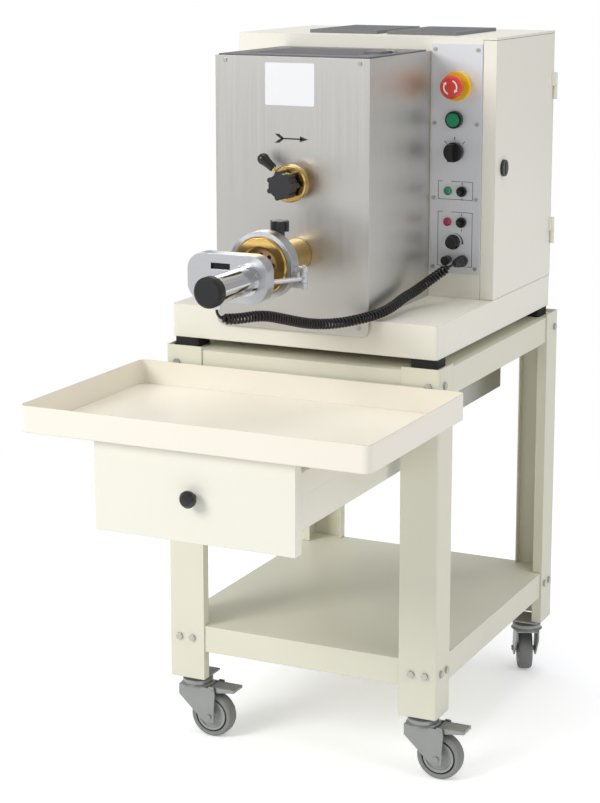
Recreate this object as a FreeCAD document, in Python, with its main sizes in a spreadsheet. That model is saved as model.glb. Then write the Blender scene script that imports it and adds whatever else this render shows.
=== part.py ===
import FreeCAD, Part
import math
import os
import re
import Sketcher

# Electric pasta maker on its wheeled stand, in millimetres.
# X runs to the right, Y to the rear and Z up. The origin lies on the floor under the middle of the
# whole machine, with the drawer pulled out as it stands in use.

doc = FreeCAD.newDocument("pasta_maker")
sheet = doc.addObject("Spreadsheet::Sheet", "Sizes")
aliases = {}


# Stand: folded sheet legs, two pans and casters.
STAND = {"stand_width": 506, "stand_depth": 600, "leg_length": 600, "caster_height": 114, "leg_face": 68,
         "leg_side": 60, "leg_lip": 18, "leg_wall": 2.5, "leg_bend": 4, "pan_wall": 2, "pan_height": 47,
         "shelf_height": 213, "top_recess": 6, "seat_gap": 0.3, "bolt_shank": 4, "bolt_head": 6.5,
         "bolt_head_height": 4, "bolt_inset": 20, "bolt_spacing": 25, "bolt_grip": 9,
         "bolt_clearance": 0.25}
# Drawer on telescopic rails, and the loose tray that lies on it.
DRAWER = {"drawer_width": 346, "drawer_open": 374, "drawer_front_height": 147,
          "drawer_wall": 1.5, "drawer_box_width": 320, "drawer_box_depth": 500, "drawer_box_height": 120,
          "drawer_flange": 22, "drawer_flange_cut": 17, "rail_height": 44, "rail_depth": 11,
          "rail_wall": 1.5, "rail_length": 480, "rail_setback": 3, "rail_gap": 0.3,
          "knob_reach": 25, "knob_radius": 13.5, "tray_width": 600, "tray_depth": 384, "tray_height": 43,
          "tray_wall": 1.5, "tray_corner": 13, "tray_gap": 6}
# Machine housing: base, cabinet, steel cover and side door.
HOUSING = {"machine_shift": -6, "base_width": 492, "base_depth": 566, "base_setback": 20,
           "base_height": 57, "base_corner": 6, "foot_side": 46, "foot_height": 17, "foot_inset": 3,
           "foot_corner": 5, "housing_wall": 2, "cabinet_front": 278,
           "door_drop": 4, "door_return": 24, "door_lip": 18, "door_gap": 0.6, "hinge_radius": 4,
           "hinge_length": 24, "cover_left": -161, "cover_right": 120, "cover_front": 14,
           "cover_apron": 28, "cover_wall": 1.5, "cover_corner": 13,
           "panel_left": 122.5, "panel_wall": 2,
           "panel_gap": 0.5, "vent_height": 6, "vent_width": 130, "vent_depth": 200, "vent_wall": 1.2}
# Kneading vat, mixing shaft, extrusion screw and head.
MIXING = {"axis_x": -10, "vat_radius": 96, "vat_wall": 3,
          "vat_front": 30, "vat_back": 262, "trough_radius": 27, "barrel_radius": 27,
          "barrel_bore": 23.5, "barrel_front": -64, "shaft_radius": 9, "shaft_gap": 0.05,
          "paddle_reach": 84, "paddle_width": 26, "paddle_thick": 5, "paddle_count": 5, "auger_core": 8,
          "auger_radius": 23, "auger_pitch": 40, "auger_flight": 3.5, "auger_front": -92,
          "collar_radius": 34, "head_radius": 56, "head_back": -52, "head_cone": -86, "head_ring": -97,
          "head_front": -122, "die_seat": -100, "die_radius": 33, "die_thick": 12, "die_hole": 3.6,
          "die_hole_circle": 17, "nut_radius": 47.5, "nut_mouth": 29.5, "nut_front": -127,
          "thread_gap": 0.3, "hub_radius": 22, "hub_length": 19, "lock_radius": 31, "lock_thick": 15,
          "lock_gap": 0.3, "lever_reach": 62, "lever_radius": 4, "lever_ball": 8.5,
          "mixer_knob_radius": 20, "mixer_knob_length": 32, "lobe_radius": 4.5}
# Rotary cutter on its swing arm.
CUTTER = {"cutter_pivot_x": 57, "cutter_pivot_y": -101, "pivot_radius": 3,
          "pivot_length": 34, "pivot_wall": 3.5, "arm_radius": 4, "bracket_back": -164,
          "bracket_depth": 26, "bracket_left": -106, "bracket_height": 78, "bracket_wall": 4,
          "cutter_shift_x": 8, "cutter_shift_z": -12, "motor_radius": 22.5, "motor_length": 112,
          "cap_radius": 24.5, "cap_length": 18, "blade_back": -128.5, "blade_thick": 1.6,
          "blade_reach": 40, "blade_width": 16, "blade_hub": 9, "spindle_radius": 4,
          "clamp_knob_radius": 15, "clamp_knob_height": 26, "clamp_screw": 4}
# Electrical side: gear motor in the cabinet and the controls on the panel.
ELECTRICAL = {"gearbox_width": 150, "gearbox_depth": 90, "gearbox_height": 230, "gearbox_gap": 18,
              "drive_radius": 62, "drive_length": 150, "estop_x": 171,
              "estop_collar_radius": 25, "estop_collar_height": 12, "estop_head_radius": 20,
              "estop_head_height": 16, "estop_reach": 38, "estop_stem": 9, "start_x": 166,
              "start_radius": 15, "start_cap": 11.5, "start_height": 9,
              "start_cap_reach": 12, "selector_radius": 17, "selector_height": 10,
              "selector_reach": 24, "selector_grip": 9, "lamp_x": 155,
              "lamp_radius": 7.5, "lamp_height": 7, "toggle_x": 181,
              "toggle_radius": 9, "toggle_height": 5, "toggle_reach": 18, "toggle_lever": 2.6,
              "toggle_pivot": 3, "speed_radius": 13, "speed_height": 15, "fuse_x": 156,
              "fuse_radius": 8, "fuse_height": 14, "socket_x": 184, "socket_radius": 10,
              "socket_height": 8, "plug_radius": 8, "plug_length": 34, "screw_radius": 3.5,
              "screw_height": 1.6, "lock_dial_radius": 14.5, "lock_dial_height": 5,
              "lock_setback": 318, "lock_slack": 2}
# Lid over the vat.
LID = {"lid_height": 6, "lid_side": 8, "lid_front": 20, "lid_hinge_y": 266, "lid_slots": 9,
       "lid_slot_width": 11, "lid_handle_width": 60}
# Casters.
CASTERS = {"wheel_radius": 40, "wheel_width": 26, "caster_trail": 32, "caster_inset": 36, "fork_wall": 3,
           "fork_width": 44, "axle_radius": 5, "race_radius": 27, "race_height": 14, "plate_side": 58,
           "plate_wall": 3, "kingpin_radius": 6, "pedal_width": 34, "pedal_reach": 48,
           "pedal_setback": 37, "pedal_ear": 5, "pedal_pin": 2.5, "hub_bore": 0.05, "rear_turn": 115,
           "tread_crown": 4}
# Coiled cable from the cutter motor to its plug.
CABLE = {"cable_radius": 2.2, "curl_radius": 6.6, "curls": 56, "lead_length": 14}

# Heights above the deck of the machine's base, and below the stand's top.
ABOVE_DECK = {"cabinet_top": 453, "cover_top": 429, "panel_top": 442, "panel_bottom": 44, "lock_z": 228,
              "mixer_z": 224, "auger_z": 103, "vat_rim": 425, "cutter_pivot_z": 86, "estop_z": 370,
              "start_z": 312, "selector_z": 256, "lamp_upper_z": 188, "lamp_lower_z": 134, "speed_z": 99,
              "fuse_z": 67}
BELOW_TOP = {"drawer_top": 73, "rail_center": 114}

for table in (STAND, DRAWER, HOUSING, MIXING, CUTTER, ELECTRICAL, LID, CASTERS, CABLE):
    for word, number in table.items():
        row = len(aliases) + 1
        sheet.set("A%d" % row, word)
        sheet.set("B%d" % row, str(number))
        sheet.setAlias("B%d" % row, word)
        aliases[word] = float(number)
TOP = "(caster_height + leg_length)"
DECK = "(%s - top_recess + foot_height + base_height)" % TOP
for table, level, sign in ((ABOVE_DECK, DECK, "+"), (BELOW_TOP, TOP, "-")):
    for word, number in table.items():
        row = len(aliases) + 1
        sheet.set("A%d" % row, word)
        sheet.set("B%d" % row, "=%s %s %s" % (level, sign, number))
        sheet.setAlias("B%d" % row, word)
        aliases[word] = None
doc.recompute()
for word in (*ABOVE_DECK, *BELOW_TOP):
    aliases[word] = float(sheet.get(word))

HALF_W = "(stand_width / 2)"
WHEEL_REACH = ("((caster_trail + wheel_radius) * sin(rear_turn) - wheel_width / 4 * cos(rear_turn)"
               " - caster_inset)")
FRONT = "((drawer_open + knob_reach - stand_depth - %s) / 2)" % WHEEL_REACH
PAN_TOP = "(%s - top_recess)" % TOP
BASE_Z = "(%s + foot_height)" % PAN_TOP
DECK_Z = "(%s + base_height)" % BASE_Z
BASE_L = "(machine_shift - base_width / 2)"
BASE_R = "(machine_shift + base_width / 2)"
CAB_Y = "(%s + cabinet_front)" % FRONT
CAB_BACK = "(%s + base_setback + base_depth)" % FRONT
PANEL_Y = "(%s - panel_wall)" % CAB_Y


def depth(text):
    """A distance behind the front of the stand, as a place along Y."""
    return "(%s + %s)" % (FRONT, text)


def cell(text):
    return re.sub(r"[a-z_]+", lambda found: "Sizes." + found.group(0)
                  if found.group(0) in aliases else found.group(0), str(text))


probe = doc.addObject("App::FeaturePython", "Probe")
probe.addProperty("App::PropertyFloat", "Answer")


def value(text):
    """The number that an expression over the sheet gives, worked out by the document itself."""
    probe.setExpression("Answer", cell(text))
    probe.recompute()
    return float(probe.Answer)


def bind(item, **links):
    for name, text in links.items():
        item.setExpression(name.replace("_", "."), cell(text))


def seat(item, x, y, z):
    bind(item, Placement_Base_x=x, Placement_Base_y=y, Placement_Base_z=z)
    return item


def turned(item, axis, angle):
    item.Placement = FreeCAD.Placement(FreeCAD.Vector(), FreeCAD.Rotation(FreeCAD.Vector(*axis), angle))
    return item


def block(name, x, y, z):
    """A box between two places along each axis."""
    item = doc.addObject("Part::Box", name)
    bind(item, Length="%s - (%s)" % (x[1], x[0]), Width="%s - (%s)" % (y[1], y[0]),
         Height="%s - (%s)" % (z[1], z[0]))
    return seat(item, x[0], y[0], z[0])


TURNS = {"X": ((0, 1, 0), 90), "Y": ((1, 0, 0), -90), "Z": ((0, 0, 1), 0)}


def drum(name, axis, radius, place, length):
    """A cylinder that starts at a place and runs the positive way along an axis."""
    item = turned(doc.addObject("Part::Cylinder", name), *TURNS[axis])
    bind(item, Radius=radius, Height=length)
    return seat(item, *place)


def ball(name, radius, place):
    item = doc.addObject("Part::Sphere", name)
    bind(item, Radius=radius)
    return seat(item, *place)


def cut(name, base, *tools):
    item = doc.addObject("Part::Cut", name)
    item.Base = base
    item.Tool = tools[0] if len(tools) == 1 else group(name + "_tools", *tools)
    return item


def fuse(name, *pieces):
    item = doc.addObject("Part::MultiFuse", name)
    item.Shapes = list(pieces)
    return item


def group(name, *pieces):
    item = doc.addObject("Part::Compound", name)
    item.Links = list(pieces)
    return item


def plane_of(body, role):
    return [part for part in body.Origin.OriginFeatures if part.Role == role][0]


def outline(body, role, points, name):
    """A closed outline whose corners are tied to the sheet."""
    drawn = body.newObject("Sketcher::SketchObject", name)
    drawn.AttachmentSupport = [(plane_of(body, role), "")]
    drawn.MapMode = "FlatFace"
    places = [FreeCAD.Vector(value(x), value(y), 0) for x, y in points]
    count = len(places)
    for index in range(count):
        drawn.addGeometry(Part.LineSegment(places[index], places[(index + 1) % count]), False)
    for index in range(count):
        drawn.addConstraint(Sketcher.Constraint("Coincident", index, 2, (index + 1) % count, 1))
    for index, (x, y) in enumerate(points):
        for kind, text in (("DistanceX", x), ("DistanceY", y)):
            if str(text) in ("0", "0.0"):
                axis = -2 if kind == "DistanceX" else -1
                drawn.addConstraint(Sketcher.Constraint("PointOnObject", index, 1, axis))
                continue
            number = places[index].x if kind == "DistanceX" else places[index].y
            row = drawn.addConstraint(Sketcher.Constraint(kind, -1, 1, index, 1, number))
            drawn.setExpression("Constraints[%d]" % row, cell(text))
    return drawn


def prism(name, role, points, length, place, bend=None, reverse=False):
    """An outline pushed straight out of an origin plane, its upright corners rounded if asked."""
    body = doc.addObject("PartDesign::Body", name)
    drawn = outline(body, role, points, name + "_outline")
    pad = body.newObject("PartDesign::Pad", name + "_pad")
    pad.Profile = drawn
    pad.Reversed = reverse
    bind(pad, Length=length)
    drawn.Visibility = False
    if bend:
        doc.recompute()
        normal = {"XY_Plane": (0, 0, 1), "XZ_Plane": (0, 1, 0), "YZ_Plane": (1, 0, 0)}[role]
        chosen = []
        for number, edge in enumerate(pad.Shape.Edges, 1):
            along = edge.tangentAt(edge.FirstParameter)
            if abs(along.dot(FreeCAD.Vector(*normal))) > 0.999 and bend[1](edge.CenterOfMass):
                chosen.append("Edge%d" % number)
        fillet = body.newObject("PartDesign::Fillet", name + "_bend")
        fillet.Base = (pad, chosen)
        bind(fillet, Radius=bend[0])
    return seat(body, *place)


def anywhere(point):
    return True


def lathe(name, axis, points, place):
    """A turned piece. Points are (radius, distance along the axis)."""
    body = doc.addObject("PartDesign::Body", name)
    role = {"X": "XY_Plane", "Y": "XY_Plane", "Z": "XZ_Plane"}[axis]
    if axis == "X":
        points = [(along, radius) for radius, along in points]
    drawn = outline(body, role, points, name + "_outline")
    turn = body.newObject("PartDesign::Revolution", name + "_turn")
    turn.Profile = drawn
    turn.ReferenceAxis = (drawn, ["H_Axis" if axis == "X" else "V_Axis"])
    turn.Angle = 360
    drawn.Visibility = False
    return seat(body, *place)


def rectangle(x, y):
    return [(x[0], y[0]), (x[1], y[0]), (x[1], y[1]), (x[0], y[1])]


def lobes(name, axis, count, radius, lobe, place, length):
    """A hand knob with round lobes about its rim."""
    core = drum(name + "_core", axis, radius, place, length)
    pieces = [core]
    for index in range(count):
        turn = 2 * math.pi * index / count
        first = "(%s) * %.6f" % (radius, math.cos(turn))
        second = "(%s) * %.6f" % (radius, math.sin(turn))
        if axis == "Y":
            spot = ("%s + %s" % (place[0], first), place[1], "%s + %s" % (place[2], second))
        else:
            spot = ("%s + %s" % (place[0], first), "%s + %s" % (place[1], second), place[2])
        pieces.append(drum("%s_lobe_%d" % (name, index), axis, lobe, spot, length))
    return pieces


nodes = {}


def node(name, item):
    item.Label = name
    nodes[name] = item
    return item


# Legs. Each is a folded angle with a lip along both free edges, notched where the pans pass.
SIDES = {"left": -1, "right": 1}
ENDS = {"front": -1, "rear": 1}


def corner_x(side, text):
    return "%d * (%s - (%s))" % (SIDES[side], HALF_W, text)


def corner_y(end, text):
    edge = FRONT if end == "front" else depth("stand_depth")
    return "(%s %s (%s))" % (edge, "+" if end == "front" else "-", text)


def ordered(side_sign, first, second):
    """Two places given outwards to inwards, put in rising order."""
    return (first, second) if side_sign < 0 else (second, first)


SHELF_LOW = "(shelf_height - pan_height)"
TOP_LOW = "(%s - pan_height)" % PAN_TOP
bolt_holes = []
bolt_pieces = []


def bolt(name, axis, sign, x, y, z):
    """A hexagon bolt whose head lies on the outside of a leg."""
    along = {"X": (90, (0, 1, 0)), "Y": (-90, (1, 0, 0))}[axis]
    head = doc.addObject("Part::Prism", name + "_head")
    head.Polygon = 6
    turned(head, along[1], along[0])
    bind(head, Circumradius="bolt_head", Height="bolt_head_height")
    shank_from = {"X": x, "Y": y}[axis]
    out = "%s - bolt_head_height" % shank_from if sign < 0 else shank_from
    inward = shank_from if sign < 0 else "%s - bolt_grip" % shank_from
    if axis == "X":
        seat(head, out, y, z)
        spot = (inward, y, z)
    else:
        seat(head, x, out, z)
        spot = (x, inward, z)
    shank = drum(name + "_shank", axis, "bolt_shank", spot, "bolt_grip")
    bolt_holes.append(drum(name + "_hole", axis, "bolt_shank + bolt_clearance", spot, "bolt_grip"))
    bolt_pieces.append(fuse(name, head, shank))


for end in ENDS:
    for side in SIDES:
        for level, z in (("low", "(%s + pan_height / 2)" % SHELF_LOW), ("high", "(%s + pan_height / 2)" % TOP_LOW)):
            for number in range(2 if level == "low" else 1):
                inset = "(bolt_inset + %d * bolt_spacing)" % number
                tag = "bolt_%s_%s_%s_%d" % (end, side, level, number)
                bolt(tag + "_face", "Y", ENDS[end], corner_x(side, inset), corner_y(end, "0"), z)
                bolt(tag + "_side", "X", SIDES[side], corner_x(side, "0"), corner_y(end, inset), z)
holes = group("bolt_hole_set", *bolt_holes)


def leg(name, side, end):
    across = lambda text: "%d * (%s)" % (-SIDES[side], text)
    along = lambda text: "%d * (%s)" % (-ENDS[end], text)
    path = [("0", "0"), ("leg_face", "0"), ("leg_face", "leg_lip"), ("leg_face - leg_wall", "leg_lip"),
            ("leg_face - leg_wall", "leg_wall"), ("leg_wall", "leg_wall"),
            ("leg_wall", "leg_side - leg_wall"), ("leg_lip", "leg_side - leg_wall"),
            ("leg_lip", "leg_side"), ("0", "leg_side")]
    points = [(across(x) if x != "0" else "0", along(y) if y != "0" else "0") for x, y in path]
    outer = lambda point: abs(point.x) < 0.01 and abs(point.y) < 0.01
    angle = prism(name, "XY_Plane", points, "leg_length",
                  (corner_x(side, "0"), corner_y(end, "0"), "caster_height"), ("leg_bend", outer))
    notches = []
    for level, low, high in (("low", SHELF_LOW, "shelf_height"), ("high", TOP_LOW, PAN_TOP)):
        x = ordered(SIDES[side], corner_x(side, "leg_wall"), corner_x(side, "leg_face + leg_wall"))
        y = ordered(ENDS[end], corner_y(end, "leg_wall"), corner_y(end, "leg_side + leg_wall"))
        over = "%s + seat_gap" % high if level == "low" else "%s + seat_gap" % TOP
        notches.append(block("%s_notch_%s" % (name, level), x, y, ("%s - seat_gap" % low, over)))
    return cut(name + "_notched", angle, *notches, holes)


for end in ENDS:
    pair = [leg("leg_%s_%s" % (end, side), side, end) for side in SIDES]
    node("%s_legs" % end, group("%s_legs" % end, *pair))


def lip_slots():
    """Slots in the shelf's edge, which leave each leg's two lips free."""
    slots = []
    for end in ENDS:
        for side in SIDES:
            for kind, (near_x, far_x), (near_y, far_y) in (
                    ("face", ("leg_face - leg_wall", "leg_face"), ("0", "leg_lip")),
                    ("side", ("0", "leg_lip"), ("leg_side - leg_wall", "leg_side"))):
                x = ordered(SIDES[side], corner_x(side, "%s - seat_gap" % near_x),
                            corner_x(side, "%s + seat_gap" % far_x))
                y = ordered(ENDS[end], corner_y(end, "%s - seat_gap" % near_y),
                            corner_y(end, "%s + seat_gap" % far_y))
                slots.append(block("lip_slot_%s_%s_%s" % (kind, end, side), x, y,
                                   ("shelf_height - pan_wall", "shelf_height + pan_wall")))
    return slots


def pan(name, top, *slots):
    """A shallow folded tray, open below, whose skirts bolt inside the legs."""
    low = "(%s - pan_height)" % top
    x = ["%s * (%s - leg_wall - seat_gap)" % (sign, HALF_W) for sign in (-1, 1)]
    y = [depth("leg_wall + seat_gap"), depth("stand_depth - leg_wall - seat_gap")]
    outer = block(name + "_outer", x, y, (low, top))
    inner = block(name + "_inner", ["%s + pan_wall" % x[0], "%s - pan_wall" % x[1]],
                  ["%s + pan_wall" % y[0], "%s - pan_wall" % y[1]],
                  ("%s - pan_wall" % low, "%s - pan_wall" % top))
    return cut(name + "_pan", outer, inner, holes, *slots)


node("lower_shelf", pan("lower_shelf", "shelf_height", *lip_slots()))
node("top_frame", pan("top_frame", PAN_TOP))

# Casters: a fixed plate and race, a swivelling fork, a wheel, and a brake pedal on the front pair.
RACE_LOW = "(caster_height - plate_wall - race_height)"
plates = []
caster_at = {}
for end in ENDS:
    for side in SIDES:
        tag = "%s_%s" % (end, side)
        x, y = corner_x(side, "caster_inset"), corner_y(end, "caster_inset")
        caster_at[tag] = (x, y)
        plate = block("plate_" + tag, ("%s - plate_side / 2" % x, "%s + plate_side / 2" % x),
                      ("%s - plate_side / 2" % y, "%s + plate_side / 2" % y),
                      ("caster_height - plate_wall", "caster_height"))
        race = lathe("race_" + tag, "Z",
                     [("0", "0"), ("kingpin_radius", "0"), ("kingpin_radius", "-race_height / 2"),
                      ("race_radius - shaft_gap", "-race_height / 2"), ("race_radius", "0"),
                      ("race_radius - 3 * plate_wall", "race_height / 2"), ("0", "race_height / 2")],
                     (x, y, "caster_height - plate_wall - race_height / 2"))
        pin = drum("kingpin_" + tag, "Z", "kingpin_radius",
                   (x, y, "%s - race_height / 2" % RACE_LOW), "race_height * 1.5")
        plates.append(fuse("mount_" + tag, plate, race, pin))
node("caster_plates", group("caster_plates", *plates))


def caster(tag):
    """Fork, wheel and pedal, drawn trailing to the rear and then turned about the kingpin."""
    x, y = caster_at[tag]
    angle = -90 if tag.startswith("front") else aliases["rear_turn"] - 90
    crown = "(%s - seat_gap)" % RACE_LOW
    cap = lathe("fork_cap_" + tag, "Z",
                [("kingpin_radius + shaft_gap", "0"), ("kingpin_radius + shaft_gap", "fork_wall"),
                 ("race_radius", "fork_wall"), ("race_radius + fork_wall", "0")],
                ("0", "0", "%s - fork_wall" % crown))
    cheeks = []
    for sign in (-1, 1):
        low, high = ("%s * fork_width / 2" % sign, "%s * (fork_width / 2 - fork_wall)" % sign)
        ears = [("pedal_setback - pedal_ear", "%s - fork_wall" % crown), ("pedal_setback - pedal_ear", crown),
                ("pedal_setback + pedal_ear", crown), ("pedal_setback + pedal_ear + 2", "%s - 3 * pedal_ear" % crown)]
        cheek = prism("cheek_%s_%s" % (tag, "left" if sign < 0 else "right"), "YZ_Plane",
                      [("-race_radius", "%s - fork_wall" % crown)]
                      + (ears if tag.startswith("front") else [("race_radius", "%s - fork_wall" % crown)]) +
                      [("caster_trail + 2 * axle_radius", "wheel_radius + 2 * axle_radius"),
                       ("caster_trail + 2 * axle_radius", "wheel_radius - 2 * axle_radius"),
                       ("caster_trail - 2 * axle_radius", "wheel_radius - 2 * axle_radius"),
                       ("-race_radius", "wheel_radius + 7 * axle_radius")],
                      "fork_wall", (low if sign < 0 else high, "0", "0"))
        cheeks.append(cheek)
    bridge = block("bridge_" + tag, ("-fork_width / 2", "fork_width / 2"), ("-race_radius", "race_radius"),
                   ("%s - 2 * fork_wall" % crown, "%s - fork_wall" % crown))
    bridge_bore = drum("bridge_bore_" + tag, "Z", "kingpin_radius + shaft_gap",
                       ("0", "0", "%s - 4 * fork_wall" % crown), "6 * fork_wall")
    axle = drum("axle_" + tag, "X", "axle_radius", ("-fork_width / 2 - fork_wall", "caster_trail", "wheel_radius"),
                "fork_width + 2 * fork_wall")
    pieces = [bridge, cap, axle] + cheeks
    if tag.startswith("front"):
        pieces.append(drum("pedal_pin_" + tag, "X", "pedal_pin",
                           ("-fork_width / 2 - 1", "pedal_setback", "%s - pedal_ear - 2" % crown), "fork_width + 2"))
    fork = cut("fork_" + tag, fuse("fork_set_" + tag, *pieces), bridge_bore)
    wheel = lathe("wheel_" + tag, "X",
                  [("axle_radius + hub_bore", "-wheel_width / 2 - 2"), ("3 * axle_radius", "-wheel_width / 2 - 2"),
                   ("3 * axle_radius", "-wheel_width / 4"), ("wheel_radius * 0.62", "-wheel_width / 4"),
                   ("wheel_radius * 0.7", "-wheel_width / 2"), ("wheel_radius - tread_crown", "-wheel_width / 2"),
                   ("wheel_radius", "-wheel_width / 4"), ("wheel_radius", "wheel_width / 4"),
                   ("wheel_radius - tread_crown", "wheel_width / 2"), ("wheel_radius * 0.7", "wheel_width / 2"),
                   ("wheel_radius * 0.62", "wheel_width / 4"), ("3 * axle_radius", "wheel_width / 4"),
                   ("3 * axle_radius", "wheel_width / 2 + 2"), ("axle_radius + hub_bore", "wheel_width / 2 + 2")],
                  ("0", "caster_trail", "wheel_radius"))
    made = {"fork": fork, "wheel": wheel}
    if tag.startswith("front"):
        low, high = "%s - 2 * pedal_ear - 2" % crown, "%s - 2" % crown
        tread = prism("pedal_tread_" + tag, "YZ_Plane",
                      [("pedal_setback - pedal_ear + 1", low), ("pedal_setback + pedal_ear", low),
                       ("pedal_reach + caster_trail", "%s - pedal_ear" % high),
                       ("pedal_reach + caster_trail", high), ("pedal_setback - pedal_ear + 1", high)],
                      "pedal_width", ("-pedal_width / 2", "0", "0"))
        way = drum("pedal_bore_" + tag, "X", "pedal_pin + shaft_gap",
                   ("-fork_width", "pedal_setback", "%s - pedal_ear - 2" % crown), "2 * fork_width")
        made["pedal"] = cut("pedal_" + tag, tread, way)
    for kind, item in made.items():
        carrier = group("%s_carrier_%s" % (kind, tag), item)
        turned(carrier, (0, 0, 1), angle)
        seat(carrier, x, y, "0")
        label = {"fork": "caster_fork_", "wheel": "caster_wheel_", "pedal": "brake_pedal_"}[kind] + tag
        node(label, carrier)


for tag in caster_at:
    caster(tag)

# Drawer rails: an outer channel hung from the top frame, a middle channel and a bar on the drawer.
BOX_HALF = "(drawer_box_width / 2)"
RAIL_OUT = "(%s + rail_depth + 2 * rail_wall)" % BOX_HALF
RAIL_LOW = "(rail_center - rail_height / 2)"
RAIL_HIGH = "(rail_center + rail_height / 2)"


def channel(name, sign, web_out, reach, low, high, y):
    """A channel with its web outside and both flanges towards the drawer."""
    outside = "%d * %s" % (sign, web_out)
    inside = "%d * (%s - %s)" % (sign, web_out, reach)
    x = (outside, inside) if sign < 0 else (inside, outside)
    hollow_x = ("%s + rail_wall" % outside, "%s + rail_wall" % inside) if sign < 0 else (
        "%s - rail_wall" % inside, "%s - rail_wall" % outside)
    body = block(name + "_body", x, y, (low, high))
    hollow = block(name + "_hollow", hollow_x, ("%s - rail_wall" % y[0], "%s + rail_wall" % y[1]),
                   ("%s + rail_wall" % low, "%s - rail_wall" % high))
    return cut(name, body, hollow)


RAIL_START = "drawer_flange + rail_setback"
rail_y = (depth(RAIL_START), depth("%s + rail_length" % RAIL_START))
middle_y = tuple("%s - drawer_open / 2" % text for text in rail_y)
inner_y = tuple("%s - drawer_open" % text for text in rail_y)
outer_rails = []
middle_rails = []
bars = []
for side, sign in SIDES.items():
    hook = ("%d * %s" % (sign, RAIL_OUT), "%d * (%s + rail_wall)" % (sign, RAIL_OUT))
    hook = hook if sign > 0 else hook[::-1]
    hanger = block("hanger_" + side, hook, rail_y, (RAIL_LOW, "%s - pan_wall" % PAN_TOP))
    rail = channel("outer_channel_" + side, sign, RAIL_OUT, "rail_depth", RAIL_LOW, RAIL_HIGH, rail_y)
    outer_rails.append(fuse("outer_rail_" + side, hanger, rail))
    middle_rails.append(channel("middle_channel_" + side, sign, "(%s - rail_wall - rail_gap)" % RAIL_OUT,
                                "(rail_depth - 2 * rail_wall)",
                                "(%s + rail_wall + rail_gap)" % RAIL_LOW,
                                "(%s - rail_wall - rail_gap)" % RAIL_HIGH, middle_y))
    bar_x = ("%d * %s" % (sign, BOX_HALF), "%d * (%s - 2 * rail_wall - 2 * rail_gap)" % (sign, RAIL_OUT))
    bar_x = bar_x if sign > 0 else bar_x[::-1]
    bars.append(block("inner_bar_" + side, bar_x, inner_y,
                      ("%s + 2 * rail_wall + 2 * rail_gap" % RAIL_LOW,
                       "%s - 2 * rail_wall - 2 * rail_gap" % RAIL_HIGH)))
node("outer_rails", group("outer_rails", *outer_rails))
node("middle_rails", group("middle_rails", *middle_rails))

# Drawer: an open box with its rails, a folded front and a knob.
DRAWER_Y = "(%s - drawer_open)" % FRONT
BOX_Y = "(%s + drawer_wall)" % DRAWER_Y
BOX_LOW = "(drawer_top - drawer_box_height)"
box_outer = block("box_outer", ("-" + BOX_HALF, BOX_HALF), (BOX_Y, "%s + drawer_box_depth" % BOX_Y),
                  (BOX_LOW, "drawer_top"))
box_inner = block("box_inner", ("-%s + drawer_wall" % BOX_HALF, "%s - drawer_wall" % BOX_HALF),
                  ("%s + drawer_wall" % BOX_Y, "%s + drawer_box_depth - drawer_wall" % BOX_Y),
                  ("%s + drawer_wall" % BOX_LOW, "drawer_top + drawer_wall"))
node("drawer_box", fuse("drawer_box", cut("box_shell", box_outer, box_inner), *bars))
FRONT_LOW = "(drawer_top - drawer_front_height)"
face = block("front_face", ("-drawer_width / 2", "drawer_width / 2"), (DRAWER_Y, BOX_Y),
             (FRONT_LOW, "drawer_top"))
wings = [prism("front_wing_" + side, "YZ_Plane",
               [("0", FRONT_LOW), ("drawer_flange", FRONT_LOW),
                ("drawer_flange", "drawer_top - drawer_flange_cut"), ("4 * drawer_wall", "drawer_top"),
                ("0", "drawer_top")], "drawer_wall",
               ("drawer_width / 2 - drawer_wall" if sign > 0 else "-drawer_width / 2", DRAWER_Y, "0"))
         for side, sign in SIDES.items()]
node("drawer_front", fuse("drawer_front", face, *wings))
node("drawer_knob", lathe("drawer_knob", "Y",
                          [("0", "0"), ("6", "0"), ("5", "-knob_reach * 0.4"), ("knob_radius", "-knob_reach * 0.55"),
                           ("knob_radius", "-knob_reach * 0.75"), ("knob_radius * 0.7", "-knob_reach * 0.95"),
                           ("0", "-knob_reach")],
                          ("0", DRAWER_Y, "%s + drawer_front_height / 2" % FRONT_LOW)))

# Loose tray on the drawer.
TRAY_Y = "(%s - tray_gap - tray_depth)" % FRONT
tray_x = ("-tray_width / 2", "tray_width / 2")
tray_solid = prism("tray_solid", "XY_Plane", rectangle(tray_x, ("0", "tray_depth")), "tray_height",
                   ("0", TRAY_Y, "drawer_top"), ("tray_corner", anywhere))
tray_hollow = prism("tray_hollow", "XY_Plane",
                    rectangle(("-tray_width / 2 + tray_wall", "tray_width / 2 - tray_wall"),
                              ("tray_wall", "tray_depth - tray_wall")), "tray_height",
                    ("0", TRAY_Y, "drawer_top + tray_wall"), ("tray_corner - tray_wall", anywhere))
node("tray", cut("tray", tray_solid, tray_hollow))

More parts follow.
